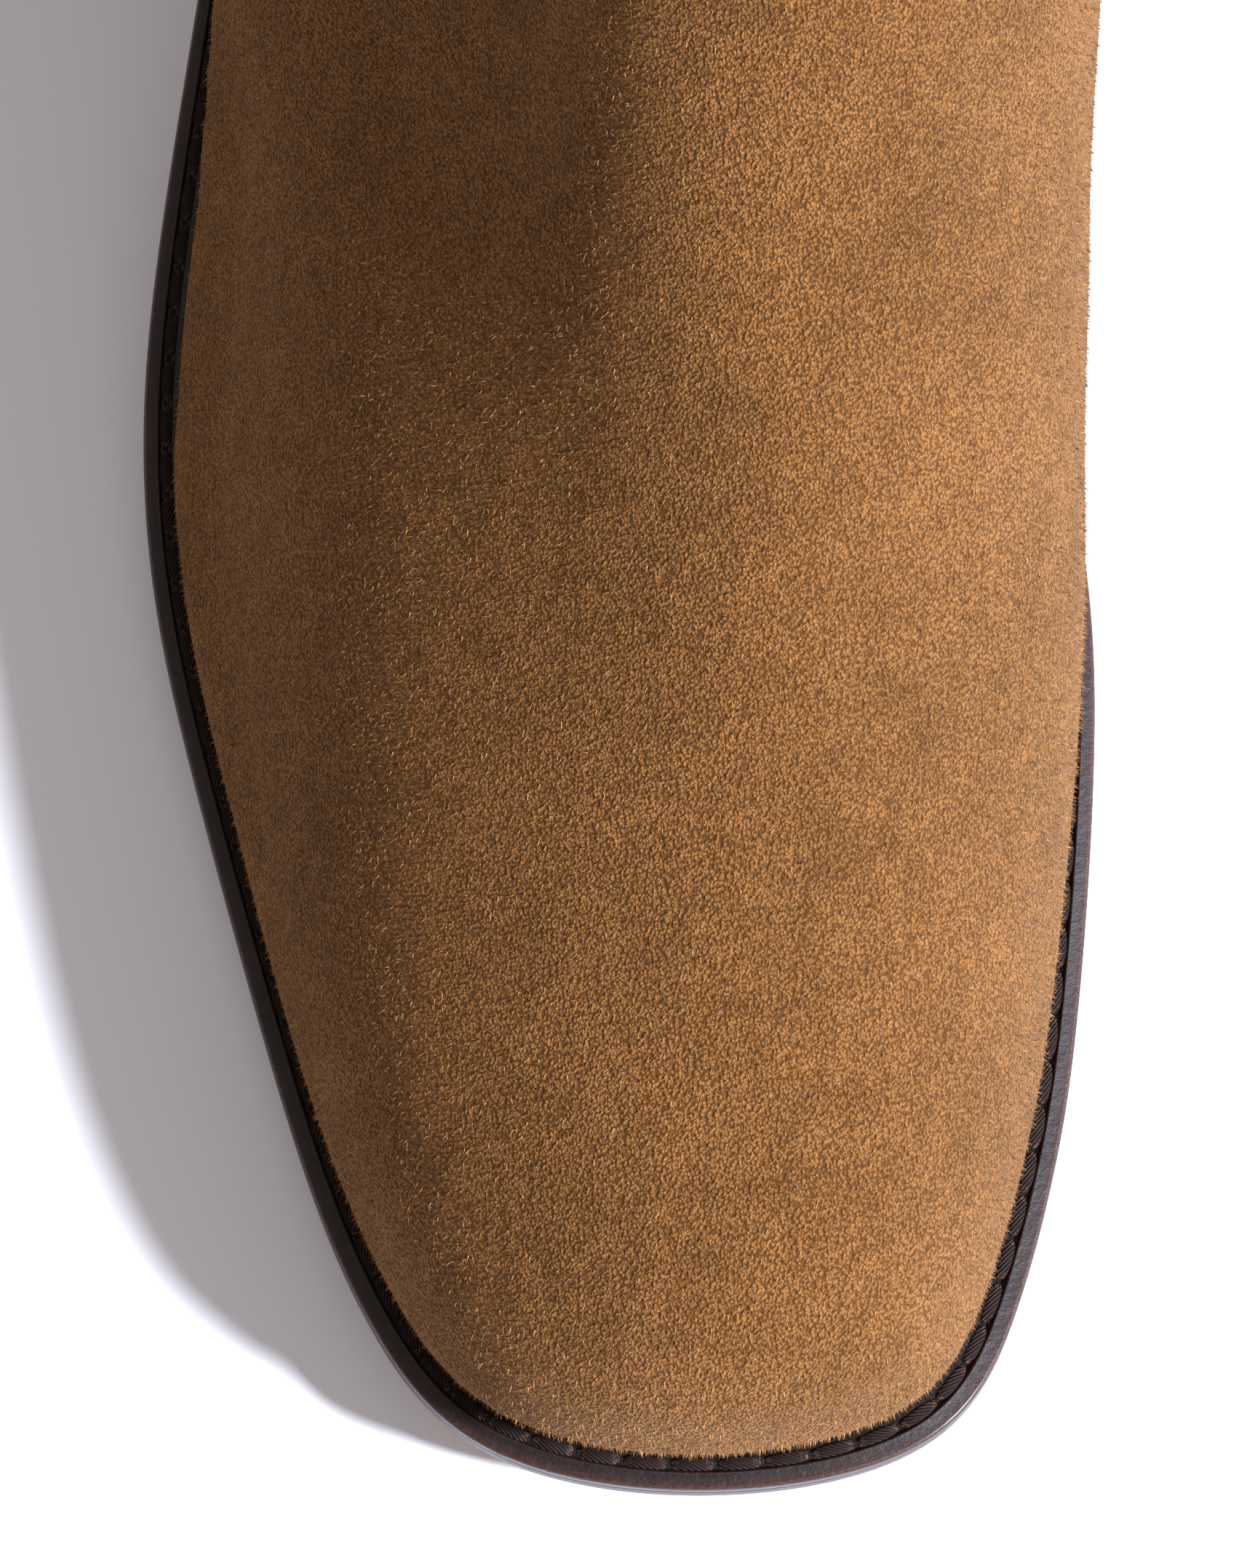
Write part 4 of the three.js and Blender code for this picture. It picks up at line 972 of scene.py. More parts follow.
# %% A finish
class Finish:
    """A material with short ways to build its colour, roughness and bump."""

    def __init__(self, name, roughness, **plain):
        self.material = bpy.data.materials.new(name)
        self.material.use_nodes = True
        self.tree = self.material.node_tree
        self.shader = self.tree.nodes["Principled BSDF"]
        self.place = self.put("ShaderNodeTexCoord").outputs["Object"]
        for key, value in {"Roughness": roughness, **plain}.items():
            self.shader.inputs[key.replace("_", " ")].default_value = value

    def put(self, kind, inputs=(), **options):
        return put(self.tree, kind, inputs, **options)

    def maths(self, operation, *values):
        return maths(self.tree, operation, *values)

    def send(self, source, socket):
        """Links a value, colour or normal to the shader."""
        if isinstance(source, bpy.types.Node):
            source = next(s for s in source.outputs if s.enabled)
        self.tree.links.new(source, self.shader.inputs[socket])

    def stored(self, name, output):
        """What a mesh stores under a name."""
        return self.put("ShaderNodeAttribute", attribute_name=name).outputs[output]

    def parts(self, vector):
        return self.put("ShaderNodeSeparateXYZ", {0: vector}).outputs

    def mottle(self, size, stretch=(1, 1, 1)):
        inputs = {"Place": self.place, "Size": size, "Stretch": stretch}
        return self.put("ShaderNodeGroup", inputs, node_tree=MOTTLE).outputs

    def rub(self, size, amount):
        inputs = {"Place": self.place, "Size": size, "Amount": amount}
        return self.put("ShaderNodeGroup", inputs, node_tree=RUB)

    def ramp(self, value, low, high, to_low=0.0, to_high=1.0):
        """A value's range between two limits, stretched to another range."""
        source = {"Value": value, "From Min": low, "From Max": high}
        return self.put("ShaderNodeMapRange", {**source, "To Min": to_low, "To Max": to_high})

    def blend(self, first, share, second, other_share):
        """Two values added up in shares."""
        parts = self.maths("MULTIPLY", first, share), self.maths("MULTIPLY", second, other_share)
        return self.maths("ADD", *parts)

    def mix(self, mask, a, b):
        """Two colours mixed by a mask."""
        a, b = (c if not isinstance(c, tuple) else (*c, 1.0)[:4] for c in (a, b))
        return self.put("ShaderNodeMix", {0: mask, 6: a, 7: b}, data_type="RGBA").outputs[2]

    def over(self, tone, mask, share, colour):
        """A colour laid over another where a mask is, at most to a share."""
        return self.mix(self.maths("MULTIPLY", mask, share), tone, colour)

    def bump(self, height, depth, under=None, strength=1.0):
        """Height in shares of a depth in millimetres."""
        inputs = {"Strength": strength, "Distance": depth * MM, "Height": height}
        if under:
            inputs["Normal"] = under
        return self.put("ShaderNodeBump", inputs)


# %% [markdown]
# ## Suede
#
# Suede is the brushed flesh side of the leather. Its colour has layers: broad patches where the nap
# lies one way or the other, blotches a few millimetres wide, short streaks along the brushing
# direction, and the curls of single tufts. Their tips are lighter, partly in their own colour and
# partly as painted light, and the pits between them carry painted shade. Cells bent by a fine noise
# make the curls, because plain noise looks like sand and straight cells look like scales. The same
# curls are the bump. Suede has no gloss, only a faint sheen at grazing angles.

# %% Suede, and its loose fibres
PATCH, BLOTCH, STREAK, TUFT, CURL = 24.0, 4.2, 1.5, 0.46, 0.37  # sizes in millimetres


def suede_pile(f, tuft):
    """Height of the pile, from 0 in its pits to 1 on its tips."""
    wander = f.put("ShaderNodeTexNoise", {"Vector": f.place, "Scale": 2000.0}).outputs[1]
    bent = f.put("ShaderNodeVectorMath", {0: f.place, 1: scaled(f.tree, wander, 0.38 * MM)})
    curls = f.put(
        "ShaderNodeTexVoronoi", {"Vector": bent, "Scale": 1000 / CURL, "Smoothness": 0.35},
        feature="SMOOTH_F1",
    )
    return f.blend(f.maths("SUBTRACT", 0.95, curls.outputs["Distance"]), 0.5, tuft, 0.5)


def suede_finish(name, loose=False):
    f = Finish(
        name, 0.88, Specular_IOR_Level=0.05, Sheen_Weight=0.16, Sheen_Roughness=0.42,
        Sheen_Tint=(1.0, 0.74, 0.48, 1),
    )
    tuft = f.mottle(TUFT)
    pile = suede_pile(f, tuft[0])
    patch = f.ramp(f.mottle(PATCH)[0], 0.34, 0.66)
    blotch = f.ramp(f.mottle(BLOTCH)[0], 0.4, 0.62)
    streak = f.ramp(f.mottle(STREAK, (1.0, 0.3, 0.6))[0], 0.38, 0.66)
    # The tips of the curls get a lighter colour, partly their own and partly painted light; the pits
    # get painted shade.
    tip, pit_shade = f.ramp(pile, 0.52, 0.72), f.ramp(pile, 0.54, 0.39)
    tone = f.mix(patch, (0.134, 0.054, 0.013), (0.22, 0.091, 0.024))
    tone = f.over(tone, blotch, 0.5, (0.27, 0.116, 0.032))
    tone = f.over(tone, streak, 0.35, (0.114, 0.0445, 0.01))
    # Painted light on the tips of the curls, then painted shade in the pits between them.
    tone = f.over(tone, tip, 0.42, (0.395, 0.187, 0.061))
    tone = f.over(tone, pit_shade, 0.72, (0.053, 0.02, 0.004))
    if loose:
        tone = f.mix(f.ramp(f.stored("shade", "Fac"), 0.4, 1.0, 0.0, 0.85), tone, (0.5, 0.262, 0.1))
    else:
        soft = f.bump(f.mottle(3.4)[0], 0.35, strength=0.5)
        f.send(f.bump(pile, 0.8, f.bump(tuft[1], 0.12, soft)), "Normal")
    f.send(tone, "Base Color")
    return f.material


suede, loose_suede = suede_finish("suede"), suede_finish("suede fibres", True)
print("suede:", len(suede.node_tree.nodes), "nodes")

# %% [markdown]
# ## Leathers
#
# The welt and the sole's edge are dark leather, waxed and polished: a thin coat over a slightly
# grainy surface, with specks and rubbed edges. The *rub* value stored on the welt says where its
# corners and its raised line are, so that wear shows exactly there, and where the seam's channel is,
# which gets painted shade. The lining is smooth, plain leather with fine pores. The heel shows the
# layers that it is stacked from.

# %% Dark waxed leather
def dark_leather(name, deep, light, roughness, edge=None, coat=0.25):
    f = Finish(name, roughness, Coat_Weight=coat, Coat_Roughness=0.25, Specular_IOR_Level=0.22)
    speck = f.ramp(f.mottle(0.5)[0], 0.6, 0.72)
    tone = f.mix(f.ramp(f.mottle(5.0)[0], 0.35, 0.68), deep, light)
    tone = f.over(tone, speck, 0.5, (0.05, 0.023, 0.016))
    if edge:
        rub = f.stored("rub", "Fac")
        broken = f.ramp(f.mottle(1.6)[1], 0.35, 0.6, 0.35, 1.0)
        tone = f.over(tone, f.ramp(rub, 0.1, 1.0), broken, edge)
        # Below zero the rub value marks the seam's channel, which gets painted shade: a near black
        # colour in the groove.
        tone = f.mix(f.ramp(rub, -0.1, -1.0, 0.0, 0.75), tone, (0.008, 0.005, 0.004))
    f.send(tone, "Base Color")
    f.send(f.ramp(f.rub(2.4, 0.35), 0.0, 1.0, roughness, roughness + 0.22), "Roughness")
    grain = f.mottle(0.8)
    f.send(f.bump(grain[1], 0.06, f.bump(grain[0], 0.16, strength=0.6), 0.7), "Normal")
    return f.material


welt_leather = dark_leather(
    "welt leather", (0.0045, 0.0022, 0.0018), (0.0115, 0.0053, 0.004), 0.48,
    edge=(0.06, 0.023, 0.015), coat=0.2,
)


# %% The outsole, polished at its edge, matte and scratched where it meets the ground
def sole_finish():
    f = Finish("outsole leather", 0.5, Coat_Weight=0.1, Coat_Roughness=0.3, Specular_IOR_Level=0.3)
    facing = f.parts(f.put("ShaderNodeNewGeometry").outputs["Normal"])[2]
    tread = f.ramp(facing, -0.35, -0.8)
    cloud = f.ramp(f.mottle(6.0)[0], 0.35, 0.66)
    fibres = f.ramp(f.mottle(0.9, (1.0, 0.12, 1.0))[0], 0.4, 0.7)
    edge = f.mix(cloud, (0.016, 0.008, 0.008), (0.034, 0.017, 0.017))
    ground = f.mix(cloud, (0.17, 0.105, 0.06), (0.25, 0.16, 0.095))
    ground = f.mix(f.rub(3.0, 0.55), ground, (0.34, 0.23, 0.145))
    ground = f.over(ground, fibres, 0.5, (0.12, 0.075, 0.043))
    f.send(f.mix(tread, edge, ground), "Base Color")
    f.send(f.ramp(tread, 0.0, 1.0, 0.5, 0.75), "Roughness")
    soft = f.bump(f.mottle(2.2)[0], 0.2, strength=0.6)
    f.send(f.bump(f.mottle(0.7)[1], 0.08, soft, 0.7), "Normal")
    return f.material


outsole_leather = sole_finish()


# %% Heel leather: thin layers seen on edge
def stacked_finish(name, deep, light, pitch):
    f = Finish(name, 0.38, Coat_Weight=0.15, Coat_Roughness=0.3)
    wobble = f.maths("MULTIPLY", f.mottle(9.0)[0], 0.7 * MM)
    turns = f.maths("DIVIDE", f.maths("ADD", f.parts(f.place)[2], wobble), pitch * MM)
    saw = f.maths("ABSOLUTE", f.maths("SUBTRACT", f.maths("FRACT", turns), 0.5))
    line = f.ramp(saw, 0.42, 0.5)
    tone = f.mix(f.ramp(f.mottle(2.0, (0.4, 0.4, 3.0))[0], 0.35, 0.66), deep, light)
    f.send(f.over(tone, line, 0.7, (0.012, 0.007, 0.005)), "Base Color")
    f.send(f.ramp(f.rub(2.5, 0.4), 0.0, 1.0, 0.36, 0.6), "Roughness")
    f.send(f.bump(line, -0.12, f.bump(f.mottle(0.8)[1], 0.07, strength=0.7)), "Normal")
    return f.material


stacked_leather = stacked_finish(
    "stacked leather", (0.045, 0.022, 0.013), (0.1, 0.05, 0.028), pitch=1.4
)


# %% Undyed or lightly finished leather, with pores and fine creases
def plain_leather(name, deep, light, roughness, pore=0.9):
    f = Finish(name, roughness, Specular_IOR_Level=0.4)
    tone = f.mix(f.ramp(f.mottle(12.0)[0], 0.35, 0.66), deep, light)
    darker, lighter = tuple(0.6 * c for c in deep), tuple(1.12 * c for c in light)
    tone = f.mix(f.ramp(f.mottle(pore)[1], 0.42, 0.28, 0.0, 0.5), tone, darker)
    f.send(f.mix(f.rub(7.0, 0.25), tone, lighter), "Base Color")
    worn = f.ramp(f.mottle(3.0)[0], 0.3, 0.7, roughness - 0.06, roughness + 0.08)
    f.send(worn, "Roughness")
    cells = f.put(
        "ShaderNodeTexVoronoi", {"Vector": f.place, "Scale": 1000 / pore}, feature="DISTANCE_TO_EDGE"
    )
    soft = f.bump(f.mottle(5.0)[0], 0.3, strength=0.5)
    f.send(f.bump(f.ramp(cells, 0.0, 0.12), 0.08, soft, 0.6), "Normal")
    return f.material


lining_leather = plain_leather("lining leather", (0.27, 0.16, 0.075), (0.36, 0.225, 0.115), 0.55)
sock_leather = plain_leather("sock leather", (0.26, 0.155, 0.075), (0.34, 0.215, 0.11), 0.5, 1.1)
insole_leather = plain_leather("insole leather", (0.44, 0.29, 0.165), (0.56, 0.39, 0.235), 0.7, 1.3)
print("leathers:", [m.name for m in bpy.data.materials if "leather" in m.name])

# %% [markdown]
# ## Thread, elastic and webbing
#
# Woven and twisted things need a pattern that follows them. The thread carries its own place along
# each stitch, and the webbing its place along and across the strip, both stored on the mesh, so the
# twist and the weave turn with the piece. The elastic's ribs are in its mesh, and its cross threads
# are level lines in the material.

# %% Thread
def thread_finish():
    f = Finish("seam thread", 0.6, Specular_IOR_Level=0.18)
    ply = f.parts(f.stored("ply", "Vector"))
    twist = f.maths("SINE", f.blend(ply[0], 38.0, ply[1], 70.0))
    tone = f.mix(f.ramp(twist, -1.0, 1.0), (0.006, 0.003, 0.0024), (0.022, 0.0095, 0.0065))
    end = f.ramp(f.maths("ABSOLUTE", ply[0]), 0.3, 0.5)
    fray = f.maths("MULTIPLY", end, f.ramp(f.mottle(0.35)[0], 0.46, 0.62))
    f.send(f.over(tone, fray, 0.8, (0.14, 0.075, 0.048)), "Base Color")
    f.send(f.bump(twist, 0.06, f.bump(f.mottle(0.3)[1], 0.06)), "Normal")
    return f.material


# %% Webbing: a herringbone
def webbing_finish():
    f = Finish("webbing", 0.8, Specular_IOR_Level=0.15, Sheen_Weight=0.04, Sheen_Roughness=0.45)
    weave = f.parts(f.stored("weave", "Vector"))
    across = f.maths("DIVIDE", weave[0], 0.9 * MM)
    zigzag = f.maths("PINGPONG", f.maths("MULTIPLY", across, 0.5), 1.6)
    rows = f.maths("SINE", f.blend(f.maths("DIVIDE", weave[1], 0.55 * MM), 3.14, zigzag, 3.4))
    height = f.blend(rows, 0.7, f.maths("SINE", f.maths("MULTIPLY", across, 12.6)), 0.3)
    tone = f.mix(f.ramp(height, -0.9, 0.9), (0.034, 0.017, 0.008), (0.125, 0.066, 0.031))
    worn = f.ramp(f.mottle(0.4)[0], 0.5, 0.75, 0.0, 0.4)
    f.send(f.mix(worn, tone, (0.19, 0.11, 0.06)), "Base Color")
    f.send(f.bump(height, 0.18), "Normal")
    return f.material


# %% Elastic
def elastic_finish():
    f = Finish("elastic", 0.75, Specular_IOR_Level=0.15, Sheen_Weight=0.04, Sheen_Roughness=0.4)
    picks = f.maths("SINE", f.maths("MULTIPLY", f.parts(f.place)[2], 2 * math.pi / (0.62 * MM)))
    yarn = f.mottle(0.5, (1.0, 1.0, 0.35))
    tone = f.mix(f.ramp(picks, -1.0, 1.0), (0.012, 0.0068, 0.0048), (0.038, 0.022, 0.0155))
    worn = f.ramp(yarn[0], 0.5, 0.72, 0.0, 0.5)
    f.send(f.mix(worn, tone, (0.075, 0.045, 0.032)), "Base Color")
    f.send(f.bump(picks, 0.07, f.bump(yarn[1], 0.06)), "Normal")
    return f.material


seam_thread, webbing, elastic = thread_finish(), webbing_finish(), elastic_finish()

# %% Rubber, brass, and what is sealed inside
def rubber_finish():
    f = Finish("top piece rubber", 0.62, Specular_IOR_Level=0.4)
    cloud = f.ramp(f.mottle(4.0)[0], 0.35, 0.66)
    tone = f.mix(cloud, (0.016, 0.013, 0.011), (0.034, 0.028, 0.024))
    f.send(f.mix(f.rub(2.0, 0.45), tone, (0.075, 0.062, 0.052)), "Base Color")
    f.send(f.ramp(f.rub(1.6, 0.5), 0.0, 1.0, 0.55, 0.8), "Roughness")
    f.send(f.bump(f.mottle(0.7)[0], 0.18, f.bump(f.mottle(0.3)[1], 0.06)), "Normal")
    return f.material


def metal_finish(name, tone, light, roughness, stretch):
    """Metal with fine drawn lines, which run where the stretch is least."""
    f = Finish(name, roughness, Metallic=1.0)
    f.send(f.mix(f.ramp(f.mottle(1.5)[0], 0.35, 0.68), tone, light), "Base Color")
    lines = f.mottle(0.35, stretch)
    f.send(f.ramp(lines[0], 0.3, 0.7, roughness - 0.08, roughness + 0.14), "Roughness")
    f.send(f.bump(lines[0], 0.02), "Normal")
    return f.material


def pressed_finish(name, deep, light, grit, depth):
    """Cork paste or fibre board: crumbs pressed together."""
    f = Finish(name, 0.9)
    crumbs = f.put("ShaderNodeTexVoronoi", {"Vector": f.place, "Scale": 1000 / grit})
    shade = f.put("ShaderNodeSeparateColor", {0: crumbs.outputs["Color"]}).outputs[0]
    f.send(f.mix(shade, deep, light), "Base Color")
    f.send(f.bump(crumbs.outputs["Distance"], -depth, f.bump(f.mottle(0.5)[1], 0.1)), "Normal")
    return f.material


top_piece_rubber = rubber_finish()
nail_brass = metal_finish("nail brass", (0.5, 0.33, 0.12), (0.72, 0.52, 0.22), 0.34, (1, 0.15, 1))
shank_steel = metal_finish("shank steel", (0.42, 0.42, 0.43), (0.6, 0.6, 0.61), 0.36, (1, 0.08, 1))
cork = pressed_finish("cork", (0.16, 0.095, 0.048), (0.36, 0.24, 0.13), 1.8, 0.3)
stiffener = pressed_finish("stiffener", (0.52, 0.45, 0.34), (0.66, 0.59, 0.47), 0.6, 0.08)
# The needle holes are flat discs of a near black colour: painted shade where the holes are.
needle_hole_shade = dark_leather(
    "needle hole", (0.002, 0.0015, 0.001), (0.006, 0.004, 0.003), 0.8, coat=0.0
)
print("finishes:", len(bpy.data.materials))

# %% [markdown]
# ## Stitches
#
# A seam is one stitch repeated at an even pitch along a path, which is exactly what Geometry Nodes do
# well. The path knows which way is out of the leather at each of its points. The tree spaces points
# along it, lays a short, flattened, slightly arched thread at each one, and keeps every thread's own
# place for the twist in the material.

# %% What all the trees share
def points_along(tree, given):
    """Evenly spaced points on the path, and how to turn a piece to lie along it."""
    path = put(tree, "GeometryNodeMeshToCurve", {"Mesh": given["Path"]})
    spaced_path = put(tree, "GeometryNodeResampleCurve", {"Curve": path}, mode="LENGTH")
    tree.links.new(given["Pitch"], next(s for s in spaced_path.inputs if s.name == "Length"))
    dots = put(tree, "GeometryNodeCurveToPoints", {"Curve": spaced_path}, mode="EVALUATED")
    out = put(tree, "GeometryNodeInputNamedAttribute", {"Name": "out"}, data_type="FLOAT_VECTOR")
    ahead = {"Vector": dots.outputs["Tangent"]}
    lengthwise = put(tree, "FunctionNodeAlignRotationToVector", ahead, axis="X")
    turned = put(
        tree, "FunctionNodeAlignRotationToVector", {"Rotation": lengthwise, "Vector": out},
        axis="Z", pivot_axis="X",
    )
    return {"Points": dots, "Rotation": turned}


def remember(tree, geometry, name, value, **kind):
    """Stores a value on a geometry under a name."""
    inputs = {"Geometry": geometry, "Name": name}
    stored = put(tree, "GeometryNodeStoreNamedAttribute", inputs, **kind)
    tree.links.new(value, next(s for s in stored.inputs if s.name == "Value" and s.enabled))
    return stored


def hand_over(tree, given, result, geometry):
    """The end of every tree: instances become real meshes and get their finish."""
    real = put(tree, "GeometryNodeRealizeInstances", {"Geometry": geometry})
    inputs = {"Geometry": real, "Material": given["Finish"]}
    painted = put(tree, "GeometryNodeSetMaterial", inputs)
    tree.links.new(painted.outputs[0], result.inputs[0])
    print("tree:", tree.name, len(tree.nodes), "nodes")


# %% The stitch tree
STITCH, given, result = new_tree(
    "stitches", "GeometryNodeTree",
    [
        ("Path", "Geometry", None), ("Pitch", "Float", 0.005), ("Length", "Float", 0.004),
        ("Width", "Float", 0.0013), ("Thickness", "Float", 0.0006), ("Finish", "Material", None),
    ],
    [("Geometry", "Geometry")],
)
along_path = points_along(STITCH, given)
half = maths(STITCH, "MULTIPLY", given["Length"], 0.5)
back = maths(STITCH, "MULTIPLY", half, -1.0)
sink, rise, radius = (maths(STITCH, "MULTIPLY", given["Thickness"], k) for k in (-0.45, 0.75, 0.5))
start, crown, end = (
    put(STITCH, "ShaderNodeCombineXYZ", place)
    for place in ({"X": back, "Z": sink}, {"Z": rise}, {"X": half, "Z": sink})
)
arch = put(
    STITCH, "GeometryNodeCurveQuadraticBezier",
    {"Resolution": 7, "Start": start, "Middle": crown, "End": end},
)

# %% The thread is full in its middle and drawn in at its ends
BLUNTNESS, END_SHARE = 8.0, 0.6
factor = put(STITCH, "GeometryNodeSplineParameter").outputs["Factor"]
both_ways = maths(STITCH, "SUBTRACT", maths(STITCH, "MULTIPLY", factor, 2.0), 1.0)
drawn_in = maths(STITCH, "POWER", maths(STITCH, "ABSOLUTE", both_ways), BLUNTNESS)
fullness = maths(STITCH, "SQRT", maths(STITCH, "SUBTRACT", 1.0, drawn_in))
girth = maths(STITCH, "MAXIMUM", fullness, END_SHARE)
section = put(
    STITCH, "GeometryNodeCurvePrimitiveCircle", {"Resolution": 8, "Radius": radius}, mode="RADIUS"
)
thread = put(
    STITCH, "GeometryNodeCurveToMesh",
    {"Curve": arch, "Profile Curve": section, "Scale": girth, "Fill Caps": True},
)
flatness = maths(STITCH, "DIVIDE", given["Width"], given["Thickness"])
widen = put(STITCH, "ShaderNodeCombineXYZ", {"X": 1.0, "Y": flatness, "Z": 1.0})
flat_thread = put(STITCH, "GeometryNodeTransform", {"Geometry": thread, "Scale": widen})
per_length = maths(STITCH, "DIVIDE", 1.0, given["Length"])
ply = scaled(STITCH, put(STITCH, "GeometryNodeInputPosition"), per_length)
marked = remember(
    STITCH, flat_thread, "ply", ply.outputs[0], data_type="FLOAT_VECTOR", domain="POINT"
)
laid = put(STITCH, "GeometryNodeInstanceOnPoints", {**along_path, "Instance": marked})
hand_over(STITCH, given, result, laid)

# %% The needle hole tree
HOLES, given, result = new_tree(
    "needle holes", "GeometryNodeTree",
    [
        ("Path", "Geometry", None), ("Pitch", "Float", 0.005), ("Radius", "Float", 0.0004),
        ("Finish", "Material", None),
    ],
    [("Geometry", "Geometry")],
)
along_path = points_along(HOLES, given)
# Each hole is a flat dark disc on the channel's floor, between two stitches: painted shade, not a real
# hole.
disc = put(
    HOLES, "GeometryNodeMeshCylinder",
    {"Vertices": 12, "Radius": given["Radius"], "Depth": 0.0001}, fill_type="NGON",
)
between = put(HOLES, "ShaderNodeCombineXYZ", {"X": maths(HOLES, "MULTIPLY", given["Pitch"], 0.5)})
shift = {"Geometry": disc.outputs["Mesh"], "Translation": between}
moved = put(HOLES, "GeometryNodeTransform", shift)
laid = put(HOLES, "GeometryNodeInstanceOnPoints", {**along_path, "Instance": moved})
hand_over(HOLES, given, result, laid)


# %% Paths for the seams
def path_object(name, points, out):
    """A line of points, each of which knows the outward direction."""
    obj = new_object(name, points, [], [(i, i + 1) for i in range(len(points) - 1)])
    store(obj, "out", out)
    return obj


def skin_path(u, v, rise):
    """A line on the suede, given by its places round and up the boot, lifted by a distance."""
    p, out = face(u, v)
    return settle(p, out) + out * rise, out


# %% The welt's seam
WELT_PITCH, THREAD_RISE, SEAM_STOP = 5.1, 0.26, 0.004
seam_shares = np.linspace(lateral_end + SEAM_STOP, medial_end - SEAM_STOP, 700)
channel_x, channel_y = along(fine_sole, seam_shares, seam_inset(seam_shares)).T
channel_floor = lift(channel_y) + WELT_LEVELS[1] - CHANNEL_DEPTH
upright = np.tile([0.0, 0.0, 1.0], (len(seam_shares), 1))
seam_line = np.stack([channel_x, channel_y, channel_floor], 1)
welt_stitches = grow(
    path_object("welt_path", seam_line + [0, 0, THREAD_RISE], upright), STITCH, "welt_stitches",
    Pitch=WELT_PITCH * MM, Length=4.5 * MM, Width=1.6 * MM, Thickness=0.62 * MM, Finish=seam_thread,
)
needle_holes = grow(
    path_object("hole_path", seam_line, upright), HOLES, "welt_needle_holes",
    Pitch=WELT_PITCH * MM, Radius=0.36 * MM, Finish=needle_hole_shade,
)

# %% Seams of the upper
SEAM_IN = 0.0085  # share of the way round between the elastic's edge and its seam
SEAM_FOOT, SEAM_TOP, TOPLINE_SEAM = 0.075, 0.985, 0.98  # places up the boot
upper_paths = []
for middle in (GORE_MIDDLE, 1 - GORE_MIDDLE):
    for side in (-1, 1):
        v = np.linspace(SEAM_FOOT, SEAM_TOP, 260)
        upper_paths.append(skin_path(middle + side * (half_opening(v) + SEAM_IN), v, 0.0))
clear = half_opening(TOPLINE_SEAM) + SEAM_IN
for low, high in (
    (GORE_MIDDLE + clear, 1 - GORE_MIDDLE - clear), (clear - GORE_MIDDLE, GORE_MIDDLE - clear)
):
    u = np.linspace(low, high, 240)
    upper_paths.append(skin_path(u, np.full(len(u), TOPLINE_SEAM), 0.0))
points, outs, edges = [], [], []
for line, out in upper_paths:
    start = sum(map(len, points))
    points.append(line)
    outs.append(out)
    edges += [(start + i, start + i + 1) for i in range(len(line) - 1)]
upper_path = new_object("upper_path", np.concatenate(points), [], edges)
store(upper_path, "out", np.concatenate(outs))
upper_stitches = grow(
    upper_path, STITCH, "upper_stitches",
    Pitch=2.7 * MM, Length=2.1 * MM, Width=0.6 * MM, Thickness=0.4 * MM, Finish=seam_thread,
)

# %% [markdown]
# ## Nap
#
# Up close, suede has loose fibres that stand off the surface and soften its outline. They are tiny
# closed cones, three sided, scattered on the outer face and leaning the way the nap is brushed. Each
# has its own length and shade.

# %% The nap tree
NAP, given, result = new_tree(
    "nap", "GeometryNodeTree",
    [
        ("Surface", "Geometry", None), ("Density", "Float", 1e6), ("Length", "Float", 0.0005),
        ("Radius", "Float", 0.00003), ("Spread", "Float", 0.6), ("Lean", "Vector", (0, 0, 0)),
        ("Seed", "Int", 0), ("Finish", "Material", None),
    ],
    [("Geometry", "Geometry")],
)
SHORTEST, LONGEST = 0.45, 1.5
scattered = put(
    NAP, "GeometryNodeDistributePointsOnFaces",
    {"Mesh": given["Surface"], "Density": given["Density"], "Seed": given["Seed"]},
)
anyhow = put(
    NAP, "FunctionNodeRandomValue", {0: (-1, -1, -1), 1: (1, 1, 1), "Seed": given["Seed"]},
    data_type="FLOAT_VECTOR",
)
strewn = scaled(NAP, anyhow.outputs[0], given["Spread"])
leaning = put(NAP, "ShaderNodeVectorMath", {0: scattered.outputs["Normal"], 1: given["Lean"]})
direction = put(NAP, "ShaderNodeVectorMath", {0: leaning, 1: strewn})
stand = put(NAP, "FunctionNodeAlignRotationToVector", {"Vector": direction}, axis="Z")
fibre = put(
    NAP, "GeometryNodeMeshCone",
    {"Vertices": 3, "Radius Top": 0.0, "Radius Bottom": given["Radius"], "Depth": given["Length"]},
    fill_type="NGON",
)
sizes = put(
    NAP, "FunctionNodeRandomValue", {2: SHORTEST, 3: LONGEST, "Seed": given["Seed"]},
    data_type="FLOAT",
)
planted = put(
    NAP, "GeometryNodeInstanceOnPoints",
    {
        "Points": scattered.outputs["Points"], "Instance": fibre.outputs["Mesh"],
        "Rotation": stand, "Scale": sizes.outputs[1],
    },
)
other_seed = maths(NAP, "ADD", given["Seed"], 50.0)
shades = put(
    NAP, "FunctionNodeRandomValue", {2: 0.0, 3: 1.0, "Seed": other_seed}, data_type="FLOAT"
)
shaded = remember(
    NAP, planted, "shade", shades.outputs[1], data_type="FLOAT", domain="INSTANCE"
)
hand_over(NAP, given, result, shaded)


# %% Grow the nap
NAP_COUNT, NAP_LENGTH, NAP_RADIUS, NAP_SPREAD = 46000, 0.52, 0.04, 0.75
BRUSHED = (0.12, -0.7, -0.25)  # towards the toe, and a little down


def outer_face(name, key):
    """Only the outer face of a piece of suede, above its turned-in foot."""
    grid = skins[key][0][1:]
    number = grid_numbers(*grid.shape[:2])
    faces = np.concatenate([strip(number[j], number[j + 1]) for j in range(len(number) - 1)])
    return new_object(name, grid.reshape(-1, 3), faces)


